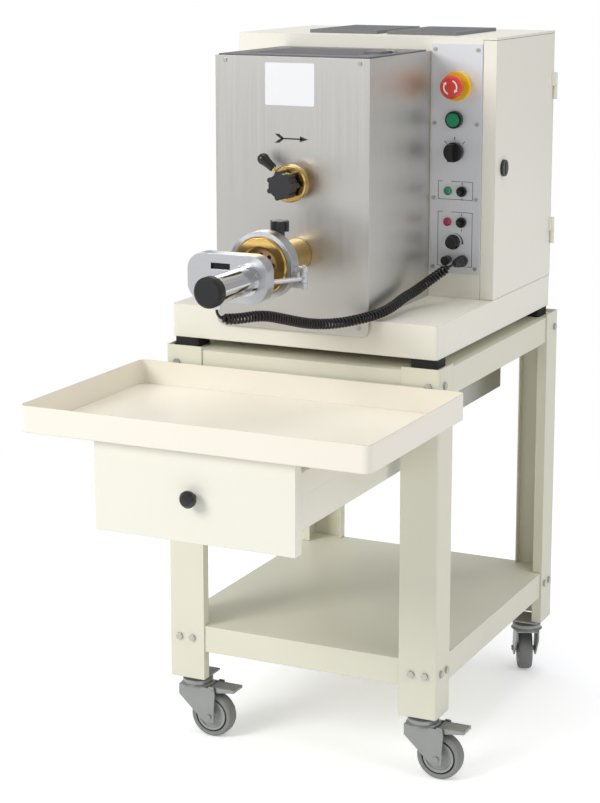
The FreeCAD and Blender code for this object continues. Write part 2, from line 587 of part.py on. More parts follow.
# Machine base on rubber feet.
BASE_Y = "(%s + base_setback)" % FRONT
feet = []
for end in ENDS:
    for side in SIDES:
        left = "%s + foot_inset" % BASE_L if side == "left" else "%s - foot_inset - foot_side" % BASE_R
        near = "%s + foot_inset" % BASE_Y if end == "front" else "%s - foot_inset - foot_side" % CAB_BACK
        feet.append(prism("foot_%s_%s" % (end, side), "XY_Plane",
                          [("0", "0"), ("foot_side", "0"), ("foot_side", "foot_side"), ("0", "foot_side")],
                          "foot_height", (left, near, PAN_TOP), ("foot_corner", anywhere)))
node("machine_feet", group("machine_feet", *feet))
base_solid = prism("base_solid", "XY_Plane", [("0", "0"), ("base_width", "0"), ("base_width", "base_depth"),
                                              ("0", "base_depth")], "base_height",
                   (BASE_L, BASE_Y, BASE_Z), ("base_corner", anywhere))
base_hollow = block("base_hollow", ("%s + housing_wall" % BASE_L, "%s - housing_wall" % BASE_R),
                    ("%s + housing_wall" % BASE_Y, "%s - housing_wall" % CAB_BACK),
                    ("%s + housing_wall" % BASE_Z, "%s - housing_wall" % DECK_Z))
node("base_pan", cut("base_pan", base_solid, base_hollow))

# Cabinet behind the vat. Its right side is open behind the door.
shell_right = "(%s - housing_wall - door_gap)" % BASE_R
shell = block("cabinet_solid", (BASE_L, BASE_R), (CAB_Y, CAB_BACK), (DECK_Z, "cabinet_top"))
shell_hollow = block("cabinet_hollow", ("%s + housing_wall" % BASE_L, "%s - door_return" % BASE_R),
                     ("%s + housing_wall" % CAB_Y, "%s - housing_wall" % CAB_BACK),
                     ("%s - housing_wall" % DECK_Z, "cabinet_top - housing_wall"))
door_way = block("cabinet_doorway", ("%s - door_return - door_gap" % BASE_R, "%s + door_gap" % BASE_R),
                 ("%s - housing_wall" % CAB_Y, "%s - housing_wall - door_gap" % CAB_BACK),
                 ("%s - housing_wall" % DECK_Z, "cabinet_top - door_drop"))
edge_relief = block("cabinet_edge_relief", (shell_right, "%s + door_gap" % BASE_R),
                    ("%s - housing_wall" % CAB_BACK, "%s + housing_wall" % CAB_BACK),
                    ("%s - housing_wall" % DECK_Z, "cabinet_top - door_drop"))
shaft_ways = [drum("shaft_way_" + tag, "Y", "shaft_radius + 4", ("axis_x", "%s - 5" % CAB_Y, z), "20")
              for tag, z in (("mixer", "mixer_z"), ("auger", "auger_z"))]
DOOR_LOW = "(%s + door_gap)" % DECK_Z
door_lip = block("cabinet_door_lip", ("%s - door_return - door_gap - housing_wall" % BASE_R,
                                      "%s - door_return - door_gap" % BASE_R),
                 (CAB_Y, "%s + door_lip" % CAB_Y), (DOOR_LOW, "cabinet_top - door_drop - door_gap"))
DOOR_HIGH = "(cabinet_top - door_drop - door_gap)"
HINGE_X = "(%s + hinge_radius)" % BASE_R
HINGE_Y = "(%s - hinge_radius)" % CAB_BACK
knuckles = []
for tag, z in (("low", "%s + 60" % DOOR_LOW), ("high", "%s - 120" % DOOR_HIGH)):
    knuckles.append(drum("cabinet_knuckle_" + tag, "Z", "hinge_radius", (HINGE_X, HINGE_Y, z), "hinge_length"))
    knuckles.append(block("cabinet_leaf_" + tag, ("%s - housing_wall" % BASE_R, HINGE_X),
                          ("%s - housing_wall" % CAB_BACK, CAB_BACK), (z, "%s + hinge_length" % z)))
node("cabinet_shell", fuse("cabinet_shell", cut("cabinet_open", shell, shell_hollow, door_way, edge_relief,
                                                *shaft_ways), door_lip, *knuckles))
door_plate = block("door_plate", ("%s - housing_wall" % BASE_R, BASE_R),
                   (CAB_Y, "%s - housing_wall - 2 * door_gap" % CAB_BACK), (DOOR_LOW, DOOR_HIGH))
door_fold = block("door_fold", ("%s - door_return" % BASE_R, BASE_R), (CAB_Y, "%s + housing_wall" % CAB_Y),
                  (DOOR_LOW, DOOR_HIGH))
door_knuckles = []
for tag, z in (("low", "%s + 60 + hinge_length + seat_gap" % DOOR_LOW),
               ("high", "%s - 120 + hinge_length + seat_gap" % DOOR_HIGH)):
    door_knuckles.append(drum("door_knuckle_" + tag, "Z", "hinge_radius", (HINGE_X, HINGE_Y, z), "hinge_length"))
    door_knuckles.append(block("door_leaf_" + tag, ("%s - housing_wall" % BASE_R, HINGE_X),
                               ("%s - 3 * hinge_radius" % HINGE_Y, "%s - 2" % HINGE_Y),
                               (z, "%s + hinge_length" % z)))
lock_way = drum("lock_way", "X", "lock_dial_radius * 0.6 + seat_gap",
                ("%s - 10" % BASE_R, depth("lock_setback"), "lock_z"), "20")
node("side_door", cut("side_door", fuse("door_set", door_plate, door_fold, *door_knuckles), lock_way))
dial = drum("lock_dial", "X", "lock_dial_radius", (BASE_R, depth("lock_setback"), "lock_z"), "lock_dial_height")
dial_slot = block("lock_slot", ("%s + lock_dial_height / 2" % BASE_R, "%s + 2 * lock_dial_height" % BASE_R),
                  (depth("lock_setback - 2"), depth("lock_setback + 2")), ("lock_z - 10", "lock_z + 10"))
CAM_X = "(%s - door_return - door_gap - housing_wall - lock_slack)" % BASE_R
barrel_of_lock = drum("lock_barrel", "X", "lock_dial_radius * 0.6",
                      ("%s - 3" % CAM_X, depth("lock_setback"), "lock_z"), "%s - %s + 3" % (BASE_R, CAM_X))
cam = block("lock_cam", ("%s - 3" % CAM_X, CAM_X),
            (depth("lock_setback - 6"), depth("lock_setback + 6")), ("lock_z - 32", "lock_z + 6"))
node("door_lock", fuse("door_lock", cut("dial", dial, dial_slot), barrel_of_lock, cam))

# Roof vents: shallow covers with slots on both long sides.
vents = []
for number, x in enumerate(("-130", "20")):
    solid = block("vent_solid_%d" % number, (x, "%s + vent_width" % x),
                  (depth("cabinet_front + 40"), depth("cabinet_front + 40 + vent_depth")),
                  ("cabinet_top", "cabinet_top + vent_height"))
    slots = [block("vent_slot_%d_%d" % (number, row), ("%s + 10" % x, "%s + vent_width - 10" % x),
                   (depth("cabinet_front + 40 + vent_depth * %.4f" % ((row + 0.3) / 9)),
                    depth("cabinet_front + 40 + vent_depth * %.4f" % ((row + 0.7) / 9))),
                   ("cabinet_top + vent_wall * 2", "cabinet_top + vent_height + 1")) for row in range(9)]
    vents.append(cut("vent_%d" % number, solid, *slots))
node("roof_vents", group("roof_vents", *vents))

# Steel cover round the vat, open at the top and the back, with an apron over the base.
COVER_Y = depth("cover_front")
cover_solid = prism("cover_solid", "XY_Plane",
                    rectangle(("cover_left", "cover_right"), ("0", "cabinet_front - cover_front - seat_gap")),
                    "cover_top - %s" % DECK_Z, ("0", COVER_Y, DECK_Z))
cover_hollow = block("cover_hollow", ("cover_left + cover_wall", "cover_right - cover_wall"),
                     ("%s + cover_wall" % COVER_Y, "%s + 10" % CAB_Y), ("%s - 1" % DECK_Z, "cover_top + 1"))
apron = prism("cover_apron", "XZ_Plane",
              rectangle(("cover_left", "cover_right"), ("%s - cover_apron" % DECK_Z, "cover_top")),
              "cover_wall", ("0", "%s + cover_wall" % COVER_Y, "0"),
              ("cover_corner", lambda point: point.z < aliases["mixer_z"]))
cover_ways = [drum("cover_way_" + tag, "Y", radius, ("axis_x", "%s - 10" % COVER_Y, z), "20")
              for tag, radius, z in (("hub", "hub_radius + seat_gap", "mixer_z"),
                                     ("barrel", "barrel_radius + seat_gap", "auger_z"))]
node("front_cover", cut("front_cover", fuse("cover_set", cut("cover_shell", cover_solid, cover_hollow), apron),
                        *cover_ways))

# Vat: a round-bottomed trough over the extrusion screw.
VAT_Y = (depth("vat_front"), depth("vat_back"))


def trough(name, grow, y, high):
    """The space of the vat, or its outside when grown by the wall."""
    length = "%s - (%s)" % (y[1], y[0])
    bowl = drum(name + "_bowl", "Y", "vat_radius + %s" % grow, ("axis_x", y[0], "mixer_z"), length)
    upper = block(name + "_upper", ("axis_x - vat_radius - %s" % grow, "axis_x + vat_radius + %s" % grow), y,
                  ("mixer_z", high))
    gutter = drum(name + "_gutter", "Y", "trough_radius + %s" % grow, ("axis_x", y[0], "auger_z"), length)
    throat = block(name + "_throat", ("axis_x - trough_radius - %s" % grow, "axis_x + trough_radius + %s" % grow),
                   y, ("auger_z", "mixer_z"))
    return fuse(name, bowl, upper, gutter, throat)


vat_outside = trough("vat_outside", "vat_wall", VAT_Y, "vat_rim")
vat_inside = trough("vat_inside", "0", ("%s + vat_wall" % VAT_Y[0], "%s - vat_wall" % VAT_Y[1]),
                    "vat_rim + vat_wall")
vat_ways = [drum("vat_way_" + tag, "Y", radius, ("axis_x", "%s - 20" % VAT_Y[0], z), "vat_back - vat_front + 40")
            for tag, radius, z in (("mixer", "shaft_radius + shaft_gap", "mixer_z"),
                                   ("auger_rear", "auger_core + shaft_gap", "auger_z"))]
vat_mouth = drum("vat_mouth", "Y", "barrel_bore", ("axis_x", "%s - 20" % VAT_Y[0], "auger_z"), "40")
node("vat", cut("vat", vat_outside, vat_inside, vat_mouth, *vat_ways))

# Brass barrel, aluminium head, die and ring nut.
node("barrel", lathe("barrel", "Y",
                     [("barrel_bore", "vat_front"), ("barrel_radius + 6", "vat_front"),
                      ("barrel_radius + 6", "vat_front - 6"), ("barrel_radius", "vat_front - 6"),
                      ("barrel_radius", "barrel_front"), ("barrel_bore", "barrel_front")],
                     ("axis_x", FRONT, "auger_z")))
head_turned = lathe("head_turned", "Y",
                    [("barrel_radius", "head_back"), ("collar_radius", "head_back"),
                     ("collar_radius", "head_cone"), ("head_radius", "head_ring"),
                     ("head_radius", "head_front"), ("nut_radius + thread_gap", "head_front"),
                     ("nut_radius + thread_gap", "die_seat"), ("auger_radius + 2", "die_seat"),
                     ("barrel_bore", "barrel_front"), ("barrel_radius", "barrel_front")],
                    ("axis_x", FRONT, "auger_z"))
LUG_X = ("axis_x + head_radius - 14", "cutter_pivot_x + pivot_radius")
LUG_Y = (depth("cutter_pivot_y - pivot_radius - pivot_wall"), depth("cutter_pivot_y + pivot_radius + pivot_wall"))
lugs = []
for tag, low, high in (("low", "cutter_pivot_z - pivot_length / 2", "cutter_pivot_z - pivot_length / 4"),
                       ("high", "cutter_pivot_z + pivot_length / 4", "cutter_pivot_z + pivot_length / 2")):
    lugs.append(block("head_lug_" + tag, LUG_X, LUG_Y, (low, high)))
    lugs.append(drum("head_lug_end_" + tag, "Z", "pivot_radius + pivot_wall",
                     ("cutter_pivot_x", depth("cutter_pivot_y"), low), "pivot_length / 4"))
boss = drum("clamp_boss", "Z", "clamp_screw * 2.2", ("axis_x + 4", depth("head_back - 8"), "auger_z + barrel_radius"),
            "collar_radius - barrel_radius + 6 - seat_gap")
lug_ways = [drum("lug_way", "Z", "pivot_radius + shaft_gap",
                 ("cutter_pivot_x", depth("cutter_pivot_y"), "cutter_pivot_z - pivot_length"),
                 "2 * pivot_length"),
            drum("boss_way", "Z", "clamp_screw + seat_gap",
                 ("axis_x + 4", depth("head_back - 8"), "auger_z + barrel_radius + seat_gap"),
                 "collar_radius"),
            drum("head_bore_way", "Y", "barrel_radius", ("axis_x", depth("barrel_front"), "auger_z"), "60"),
            lathe("nut_way", "Y", [("0", "die_seat"), ("nut_radius + thread_gap", "die_seat"),
                                   ("nut_radius + thread_gap", "head_front - 20"), ("0", "head_front - 20")],
                  ("axis_x", FRONT, "auger_z"))]
node("die_head", cut("die_head", fuse("head_set", head_turned, boss, *lugs), *lug_ways))
die_disc = lathe("die_disc", "Y", [("0", "die_seat - seat_gap"), ("die_radius", "die_seat - seat_gap"),
                                   ("die_radius", "die_seat - die_thick"), ("0", "die_seat - die_thick")],
                 ("axis_x", FRONT, "auger_z"))
die_ways = []
for number in range(7):
    turn = 2 * math.pi * number / 7
    die_ways.append(drum("die_way_%d" % number, "Y", "die_hole",
                         ("axis_x + die_hole_circle * %.6f" % math.cos(turn), depth("die_seat - die_thick - 1"),
                          "auger_z + die_hole_circle * %.6f" % math.sin(turn)), "die_thick + 3"))
node("die", cut("die", die_disc, *die_ways))
node("ring_nut", lathe("ring_nut", "Y",
                       [("die_radius + seat_gap", "die_seat - seat_gap"), ("nut_radius", "die_seat - seat_gap"),
                        ("nut_radius", "nut_front + 2"), ("nut_radius - 2", "nut_front"),
                        ("nut_mouth + 3", "nut_front"), ("nut_mouth", "nut_front + 3"),
                        ("nut_mouth", "die_seat - die_thick - seat_gap"),
                        ("die_radius + seat_gap", "die_seat - die_thick - seat_gap")],
                       ("axis_x", FRONT, "auger_z")))

# Extrusion screw: a core with one helical flight.
auger_core = drum("auger_shaft", "Y", "auger_core", ("axis_x", depth("auger_front"), "auger_z"),
                  "cabinet_front + housing_wall + gearbox_gap - auger_front - seat_gap")


def flight():
    """One steady helical rib round the core, from the vat's rear to the head."""
    pitch = aliases["auger_pitch"]
    start = aliases["auger_front"] + 4
    length = aliases["vat_back"] - aliases["vat_wall"] - 4 - start
    inner = aliases["auger_core"] - 1
    outer = aliases["auger_radius"] - 0.3
    half = aliases["auger_flight"] / 2
    spine = Part.makeLongHelix(pitch, length, outer, 0)
    tooth = Part.makePolygon([FreeCAD.Vector(inner, 0, -half), FreeCAD.Vector(outer, 0, -half * 0.7),
                              FreeCAD.Vector(outer, 0, half * 0.7), FreeCAD.Vector(inner, 0, half),
                              FreeCAD.Vector(inner, 0, -half)])
    rib = Part.Wire(spine).makePipeShell([tooth], True, True)
    shape = rib if rib.ShapeType == "Solid" else Part.makeSolid(rib)
    item = doc.addObject("Part::Feature", "auger_flight")
    item.Shape = shape
    item.Placement = FreeCAD.Placement(
        FreeCAD.Vector(aliases["axis_x"], value(FRONT) + start, aliases["auger_z"]),
        FreeCAD.Rotation(FreeCAD.Vector(1, 0, 0), -90))
    return item


node("auger", fuse("auger", auger_core, flight()))

# Mixing shaft with paddles set round it, each a bent bar with a spread foot.
MIXER_LOW = depth("cover_front - hub_length - lock_thick - 4")
mixer_parts = [drum("mixer_rod", "Y", "shaft_radius", ("axis_x", MIXER_LOW, "mixer_z"),
                    "cabinet_front + housing_wall + gearbox_gap - (cover_front - hub_length - lock_thick - 4) - seat_gap")]
paddles = int(aliases["paddle_count"])
for number in range(paddles):
    along = depth("vat_front + vat_wall + 22 + (vat_back - vat_front - 2 * vat_wall - 44) * %.4f"
                  % (number / (paddles - 1)))
    arm = block("paddle_arm_%d" % number, ("-paddle_thick / 2", "paddle_thick / 2"),
                ("-paddle_thick", "paddle_thick"), ("0", "paddle_reach - 4"))
    foot = block("paddle_foot_%d" % number, ("-paddle_thick / 2", "paddle_thick / 2"),
                 ("-paddle_width / 2", "paddle_width / 2"), ("paddle_reach - 22", "paddle_reach"))
    paddle = turned(group("paddle_%d" % number, arm, foot), (0, 1, 0), 40 + 144.0 * number)
    mixer_parts.append(seat(paddle, "axis_x", along, "mixer_z"))
node("mixer_shaft", fuse("mixer_shaft", *mixer_parts))

# Shaft hub on the cover: brass collar, locking ring with its ball lever, and a lobed knob.
node("hub_collar", lathe("hub_collar", "Y",
                         [("shaft_radius + shaft_gap", "vat_front"), ("hub_radius", "vat_front"),
                          ("hub_radius", "cover_front - hub_length"),
                          ("shaft_radius + shaft_gap", "cover_front - hub_length")],
                         ("axis_x", FRONT, "mixer_z")))
LOCK_Y = "(cover_front - hub_length - lock_gap)"
lock_disc = lathe("lock_disc", "Y",
                  [("shaft_radius + shaft_gap", LOCK_Y), ("lock_radius", LOCK_Y),
                   ("lock_radius", "%s - lock_thick + 2" % LOCK_Y), ("lock_radius - 2", "%s - lock_thick" % LOCK_Y),
                   ("shaft_radius + shaft_gap", "%s - lock_thick" % LOCK_Y)],
                  ("axis_x", FRONT, "mixer_z"))
lever = turned(doc.addObject("Part::Cylinder", "lever_rod"), (0, 1, 0), -52)
bind(lever, Radius="lever_radius", Height="lever_reach - 24")
seat(lever, "axis_x - 24 * 0.788", depth("%s - lock_thick / 2" % LOCK_Y), "mixer_z + 24 * 0.616")
lever_end = ball("lever_end", "lever_ball", ("axis_x - lever_reach * 0.788",
                                             depth("%s - lock_thick / 2" % LOCK_Y),
                                             "mixer_z + lever_reach * 0.616"))
node("lock_ring", fuse("lock_ring", lock_disc, lever, lever_end))
KNOB_Y = "(%s - lock_thick - lock_gap)" % LOCK_Y
knob_solid = fuse("mixer_knob_solid", *lobes("mixer_knob", "Y", 7, "mixer_knob_radius", "lobe_radius",
                                             ("axis_x", depth("%s - mixer_knob_length" % KNOB_Y), "mixer_z"),
                                             "mixer_knob_length * 0.8"),
                  drum("mixer_knob_neck", "Y", "mixer_knob_radius * 0.7",
                       ("axis_x", depth("%s - mixer_knob_length" % KNOB_Y), "mixer_z"), "mixer_knob_length"))
knob_way = drum("mixer_knob_way", "Y", "shaft_radius + shaft_gap",
                ("axis_x", depth("%s - 8" % KNOB_Y), "mixer_z"), "20")
node("mixer_knob", cut("mixer_knob", knob_solid, knob_way))

# Clamp knob on the head.
clamp_x, clamp_y = "axis_x + 4", depth("head_back - 8")
clamp_base = "auger_z + collar_radius + 6"
clamp = fuse("clamp_knob", *lobes("clamp_knob_rim", "Z", 6, "clamp_knob_radius - 3", "lobe_radius",
                                  (clamp_x, clamp_y, "%s + clamp_knob_height * 0.35" % clamp_base),
                                  "clamp_knob_height * 0.65"),
             drum("clamp_knob_neck", "Z", "clamp_knob_radius * 0.55", (clamp_x, clamp_y, clamp_base),
                  "clamp_knob_height"),
             drum("clamp_knob_screw", "Z", "clamp_screw",
                  (clamp_x, clamp_y, "auger_z + barrel_radius + 2 * seat_gap"), "collar_radius - barrel_radius + 8"))
node("clamp_knob", clamp)

# Rotary cutter: swing arm and housing, motor, end cap and knife.
CUT_X = "(axis_x + cutter_shift_x)"
CUT_Z = "(auger_z + cutter_shift_z)"
right_end = "(%s + bracket_height / 2 - 2)" % CUT_X
housing = prism("cutter_housing", "XZ_Plane",
                rectangle(("bracket_left", right_end), ("%s - bracket_height / 2" % CUT_Z,
                                                        "%s + bracket_height / 2" % CUT_Z)),
                "bracket_depth", ("0", depth("bracket_back"), "0"), ("bracket_height * 0.36", anywhere))
housing_hollow = prism("cutter_hollow", "XZ_Plane",
                       rectangle(("bracket_left + bracket_wall", "%s - bracket_wall" % right_end),
                                 ("%s - bracket_height / 2 + bracket_wall" % CUT_Z,
                                  "%s + bracket_height / 2 - bracket_wall" % CUT_Z)),
                       "bracket_depth", ("0", depth("bracket_back + bracket_wall"), "0"),
                       ("bracket_height * 0.36 - bracket_wall", anywhere))
window = block("cutter_window", ("%s - 62" % CUT_X, "%s - 28" % CUT_X),
               (depth("bracket_back - bracket_depth - 2"), depth("bracket_back - bracket_depth + 8")),
               ("%s + 14" % CUT_Z, "%s + 24" % CUT_Z))
spindle_way = drum("spindle_way", "Y", "spindle_radius + shaft_gap",
                   (CUT_X, depth("bracket_back - bracket_depth - 2"), CUT_Z), "bracket_depth")
arm_knuckle = drum("arm_knuckle", "Z", "pivot_radius + pivot_wall",
                   ("cutter_pivot_x", depth("cutter_pivot_y"), "cutter_pivot_z - pivot_length / 4 + seat_gap"),
                   "pivot_length / 2 - 2 * seat_gap")
arm_pin = drum("arm_pin", "Z", "pivot_radius",
               ("cutter_pivot_x", depth("cutter_pivot_y"), "cutter_pivot_z - pivot_length / 2 - 3"),
               "pivot_length + 6")
arm_neck = drum("arm_neck", "Y", "arm_radius",
                ("cutter_pivot_x", depth("cutter_pivot_y - pivot_radius - 12"), "cutter_pivot_z"),
                "pivot_radius + 10")


def rod_between(name, radius, first, last):
    """A round bar from one place to another, with a ball at each end to join it."""
    start = FreeCAD.Vector(*[value(text) for text in first])
    finish = FreeCAD.Vector(*[value(text) for text in last])
    bar = doc.addObject("Part::Cylinder", name)
    bind(bar, Radius=radius, Height="sqrt((%s - (%s))^2 + (%s - (%s))^2 + (%s - (%s))^2)"
         % (last[0], first[0], last[1], first[1], last[2], first[2]))
    bar.Placement = FreeCAD.Placement(start, FreeCAD.Rotation(FreeCAD.Vector(0, 0, 1), finish - start))
    seat(bar, *first)
    return [bar, ball(name + "_near", radius, first), ball(name + "_far", radius, last)]


arm_rod = rod_between("arm_rod", "arm_radius",
                      ("cutter_pivot_x", depth("cutter_pivot_y - pivot_radius - 12"), "cutter_pivot_z"),
                      ("%s - bracket_wall - 4" % right_end, depth("bracket_back - 6"), "cutter_pivot_z"))
node("cutter_bracket", fuse("cutter_bracket", cut("housing_open", housing, housing_hollow, window, spindle_way),
                            arm_knuckle, arm_pin, arm_neck, *arm_rod))
MOTOR_Y = "(bracket_back - bracket_depth)"
motor = lathe("cutter_motor_tube", "Y",
              [("0", MOTOR_Y), ("motor_radius + 3", MOTOR_Y), ("motor_radius + 3", "%s - 5" % MOTOR_Y),
               ("motor_radius", "%s - 5" % MOTOR_Y), ("motor_radius", "%s - motor_length" % MOTOR_Y),
               ("0", "%s - motor_length" % MOTOR_Y)], (CUT_X, FRONT, CUT_Z))
spindle = drum("motor_spindle_socket", "Y", "spindle_radius", (CUT_X, depth(MOTOR_Y), CUT_Z), "4")
gland = drum("motor_gland", "Z", "cable_radius + 4",
             (CUT_X, depth("%s - motor_length + 14" % MOTOR_Y), "%s - motor_radius - 7" % CUT_Z), "12")
node("cutter_motor", fuse("cutter_motor", motor, gland))
node("motor_cap", lathe("motor_cap", "Y",
                        [("0", "%s - motor_length" % MOTOR_Y), ("cap_radius - 1", "%s - motor_length" % MOTOR_Y),
                         ("cap_radius", "%s - motor_length - 2" % MOTOR_Y),
                         ("cap_radius", "%s - motor_length - cap_length + 4" % MOTOR_Y),
                         ("cap_radius - 4", "%s - motor_length - cap_length" % MOTOR_Y),
                         ("0", "%s - motor_length - cap_length" % MOTOR_Y)], (CUT_X, FRONT, CUT_Z)))
knife_hub = drum("knife_hub", "Y", "blade_hub", (CUT_X, depth("blade_back - blade_thick - 12"), CUT_Z),
                 "12 + blade_thick")
knife_rod = drum("knife_rod", "Y", "spindle_radius", (CUT_X, depth("%s + seat_gap" % MOTOR_Y), CUT_Z),
                 "blade_back - blade_thick - (%s) - seat_gap" % MOTOR_Y)
blade = prism("knife_blade", "XZ_Plane",
              [("0", "-blade_width / 2"), ("0", "blade_width / 2"), ("-blade_reach * 0.7", "blade_width / 2"),
               ("-blade_reach", "0"), ("-blade_reach * 0.8", "-blade_width / 2")],
              "blade_thick", (CUT_X, depth("blade_back"), CUT_Z))
node("knife", fuse("knife", knife_hub, knife_rod, blade))

# Gear motor in the cabinet, bolted to the front wall behind the vat.
GEAR_Y = "(cabinet_front + housing_wall)"
node("gearbox", fuse("gearbox",
                     block("gearbox_case", ("axis_x - gearbox_width / 2", "axis_x + gearbox_width / 2"),
                           (depth("%s + gearbox_gap" % GEAR_Y), depth("%s + gearbox_gap + gearbox_depth" % GEAR_Y)),
                           ("auger_z - 55", "auger_z - 55 + gearbox_height")),
                     *[lathe("gearbox_boss_" + tag, "Y",
                             [("shaft_radius + 6", "0"), ("shaft_radius + 16", "0"),
                              ("shaft_radius + 16", "gearbox_gap"), ("shaft_radius + 6", "gearbox_gap")],
                             ("axis_x", depth(GEAR_Y), z))
                       for tag, z in (("mixer", "mixer_z"), ("auger", "auger_z"))]))
motor_y = "%s + gearbox_gap + gearbox_depth" % GEAR_Y
fins = []
for number in range(5):
    fins += [("drive_radius", "%s + 30 + %d" % (motor_y, 20 * number)),
             ("drive_radius", "%s + 40 + %d" % (motor_y, 20 * number)),
             ("drive_radius - 5", "%s + 40 + %d" % (motor_y, 20 * number)),
             ("drive_radius - 5", "%s + 50 + %d" % (motor_y, 20 * number))]
node("drive_motor", lathe("drive_motor", "Y",
                          [("0", motor_y), ("drive_radius", motor_y), ("drive_radius", "%s + 12" % motor_y),
                           ("drive_radius - 5", "%s + 12" % motor_y), ("drive_radius - 5", "%s + 30" % motor_y)]
                          + fins + [("drive_radius - 5", "%s + drive_length" % motor_y),
                                    ("0", "%s + drive_length" % motor_y)],
                          ("axis_x", FRONT, "(mixer_z + auger_z) / 2")))

# Control panel with its openings, lamps and controls.
PANEL_X = ("panel_left", "%s - door_return - panel_gap - door_gap" % BASE_R)
panel_solid = block("panel_solid", PANEL_X, (PANEL_Y, CAB_Y), ("panel_bottom", "panel_top"))
node("control_panel", panel_solid)


def ahead(name, radius, x, z, near, far):
    """A round piece that stands out of the panel, from near to far ahead of it."""
    return drum(name, "Y", radius, (x, "%s - (%s)" % (PANEL_Y, far), z), "%s - (%s)" % (far, near))


node("estop_collar", cut("estop_collar",
                         ahead("collar_solid", "estop_collar_radius", "estop_x", "estop_z", "0",
                               "estop_collar_height"),
                         ahead("collar_way", "estop_stem + seat_gap", "estop_x", "estop_z", "2",
                               "estop_collar_height + 2")))
node("estop_stem", ahead("estop_stem", "estop_stem", "estop_x", "estop_z", "9",
                         "estop_reach - estop_head_height - seat_gap"))
node("estop_head", lathe("estop_head", "Y",
                         [("0", "estop_head_height"), ("estop_head_radius * 0.6", "estop_head_height"),
                          ("estop_head_radius", "estop_head_height - 5"), ("estop_head_radius", "4"),
                          ("estop_head_radius * 0.8", "1"), ("0", "0")],
                         ("estop_x", "%s - estop_reach" % PANEL_Y, "estop_z")))
start_ring = cut("start_ring", ahead("start_ring_solid", "start_radius", "start_x", "start_z", "0", "start_height"),
                 ahead("start_ring_way", "start_cap + seat_gap", "start_x", "start_z", "1", "start_height + 2"))
node("start_button", ahead("start_button", "start_cap", "start_x", "start_z", "5", "start_cap_reach"))
selector_base = ahead("selector_base", "selector_radius", "start_x", "selector_z", "seat_gap", "selector_height")
selector_grip = block("selector_grip", ("start_x - selector_grip / 2", "start_x + selector_grip / 2"),
                      ("%s - selector_reach" % PANEL_Y, "%s - selector_height" % PANEL_Y),
                      ("selector_z - selector_radius + 2", "selector_z + selector_radius - 2"))
node("selector_knob", fuse("selector_knob", selector_base, selector_grip))
collars = []
for tag, z in (("upper", "lamp_upper_z"), ("lower", "lamp_lower_z")):
    collars.append(cut("toggle_collar_" + tag,
                       ahead("toggle_collar_solid_" + tag, "toggle_radius", "toggle_x", z, "0", "toggle_height"),
                       ahead("toggle_collar_way_" + tag, "toggle_lever + 2.6", "toggle_x", z, "1",
                             "toggle_height + 2")))
    lever = lathe("toggle_lever_" + tag, "Y",
                  [("0", "-1 - seat_gap - toggle_pivot"), ("toggle_lever * 0.8", "-1 - seat_gap - toggle_pivot"),
                   ("toggle_lever * 1.4", "3 - toggle_reach"), ("toggle_lever", "-toggle_reach"),
                   ("0", "-toggle_reach")], ("toggle_x", PANEL_Y, z))
    pivot = drum("toggle_pivot_" + tag, "X", "toggle_pivot",
                 ("toggle_x - toggle_pivot", "%s - 1 - seat_gap - toggle_pivot" % PANEL_Y, z), "2 * toggle_pivot")
    node("toggle_" + tag, fuse("toggle_" + tag, lever, pivot))
node("speed_knob", lathe("speed_knob", "Y",
                         [("0", "-seat_gap"), ("speed_radius", "-seat_gap"), ("speed_radius", "-3"),
                          ("speed_radius * 0.8", "-5"), ("speed_radius * 0.75", "-speed_height"),
                          ("0", "-speed_height")], ("start_x", PANEL_Y, "speed_z")))
lamps = [lathe("lamp_" + tag, "Y",
               [("0", "0"), ("lamp_radius", "0"), ("lamp_radius", "-lamp_height * 0.5"),
                ("lamp_radius * 0.6", "-lamp_height"), ("0", "-lamp_height")], ("lamp_x", PANEL_Y, z))
         for tag, z in (("upper", "lamp_upper_z"), ("lower", "lamp_lower_z"))]
node("pilot_lamps", group("pilot_lamps", *lamps))
fuse_holder = ahead("fuse_holder", "fuse_radius", "fuse_x", "fuse_z", "0", "fuse_height")
socket_ring = ahead("socket_ring", "socket_radius", "socket_x", "fuse_z", "0", "socket_height")
inlet = drum("mains_gland", "Y", "socket_radius", ("machine_shift", CAB_BACK, "%s + 50" % DECK_Z), "10")
node("panel_fittings", group("panel_fittings", fuse_holder, socket_ring, start_ring, inlet, *collars))
PLUG_Y = "(%s - socket_height)" % PANEL_Y
node("cable_plug", lathe("cable_plug", "Y",
                         [("0", "0"), ("plug_radius + 1", "0"), ("plug_radius + 1", "-plug_length * 0.35"),
                          ("plug_radius - 1", "-plug_length * 0.4"), ("plug_radius - 1", "-plug_length * 0.75"),
                          ("cable_radius + 1.5", "-plug_length"), ("0", "-plug_length")],
                         ("socket_x", PLUG_Y, "fuse_z")))
screws = []
panel_edge = PANEL_X[1]
spots = [(x, z) for x in ("panel_left + 6", "%s - 8" % panel_edge)
         for z in ("panel_top - 10", "(panel_top + panel_bottom) / 2 + 62",
                   "(panel_top + panel_bottom) / 2 - 68", "panel_bottom + 10")]
for number, (x, z) in enumerate(spots):
    screws.append(ahead("panel_screw_%d" % number, "screw_radius", x, z, "0", "screw_height"))
cover_spots = [("cover_left + 18", "cover_top - 8"), ("cover_right - 18", "cover_top - 8"),
               ("cover_left + 18", "%s - 14" % DECK_Z), ("cover_right - 18", "%s - 14" % DECK_Z)]
for number, (x, z) in enumerate(cover_spots):
    screws.append(drum("cover_screw_%d" % number, "Y", "screw_radius", (x, "%s - screw_height" % COVER_Y, z),
                       "screw_height"))
node("fasteners", group("fasteners", *bolt_pieces, *screws))

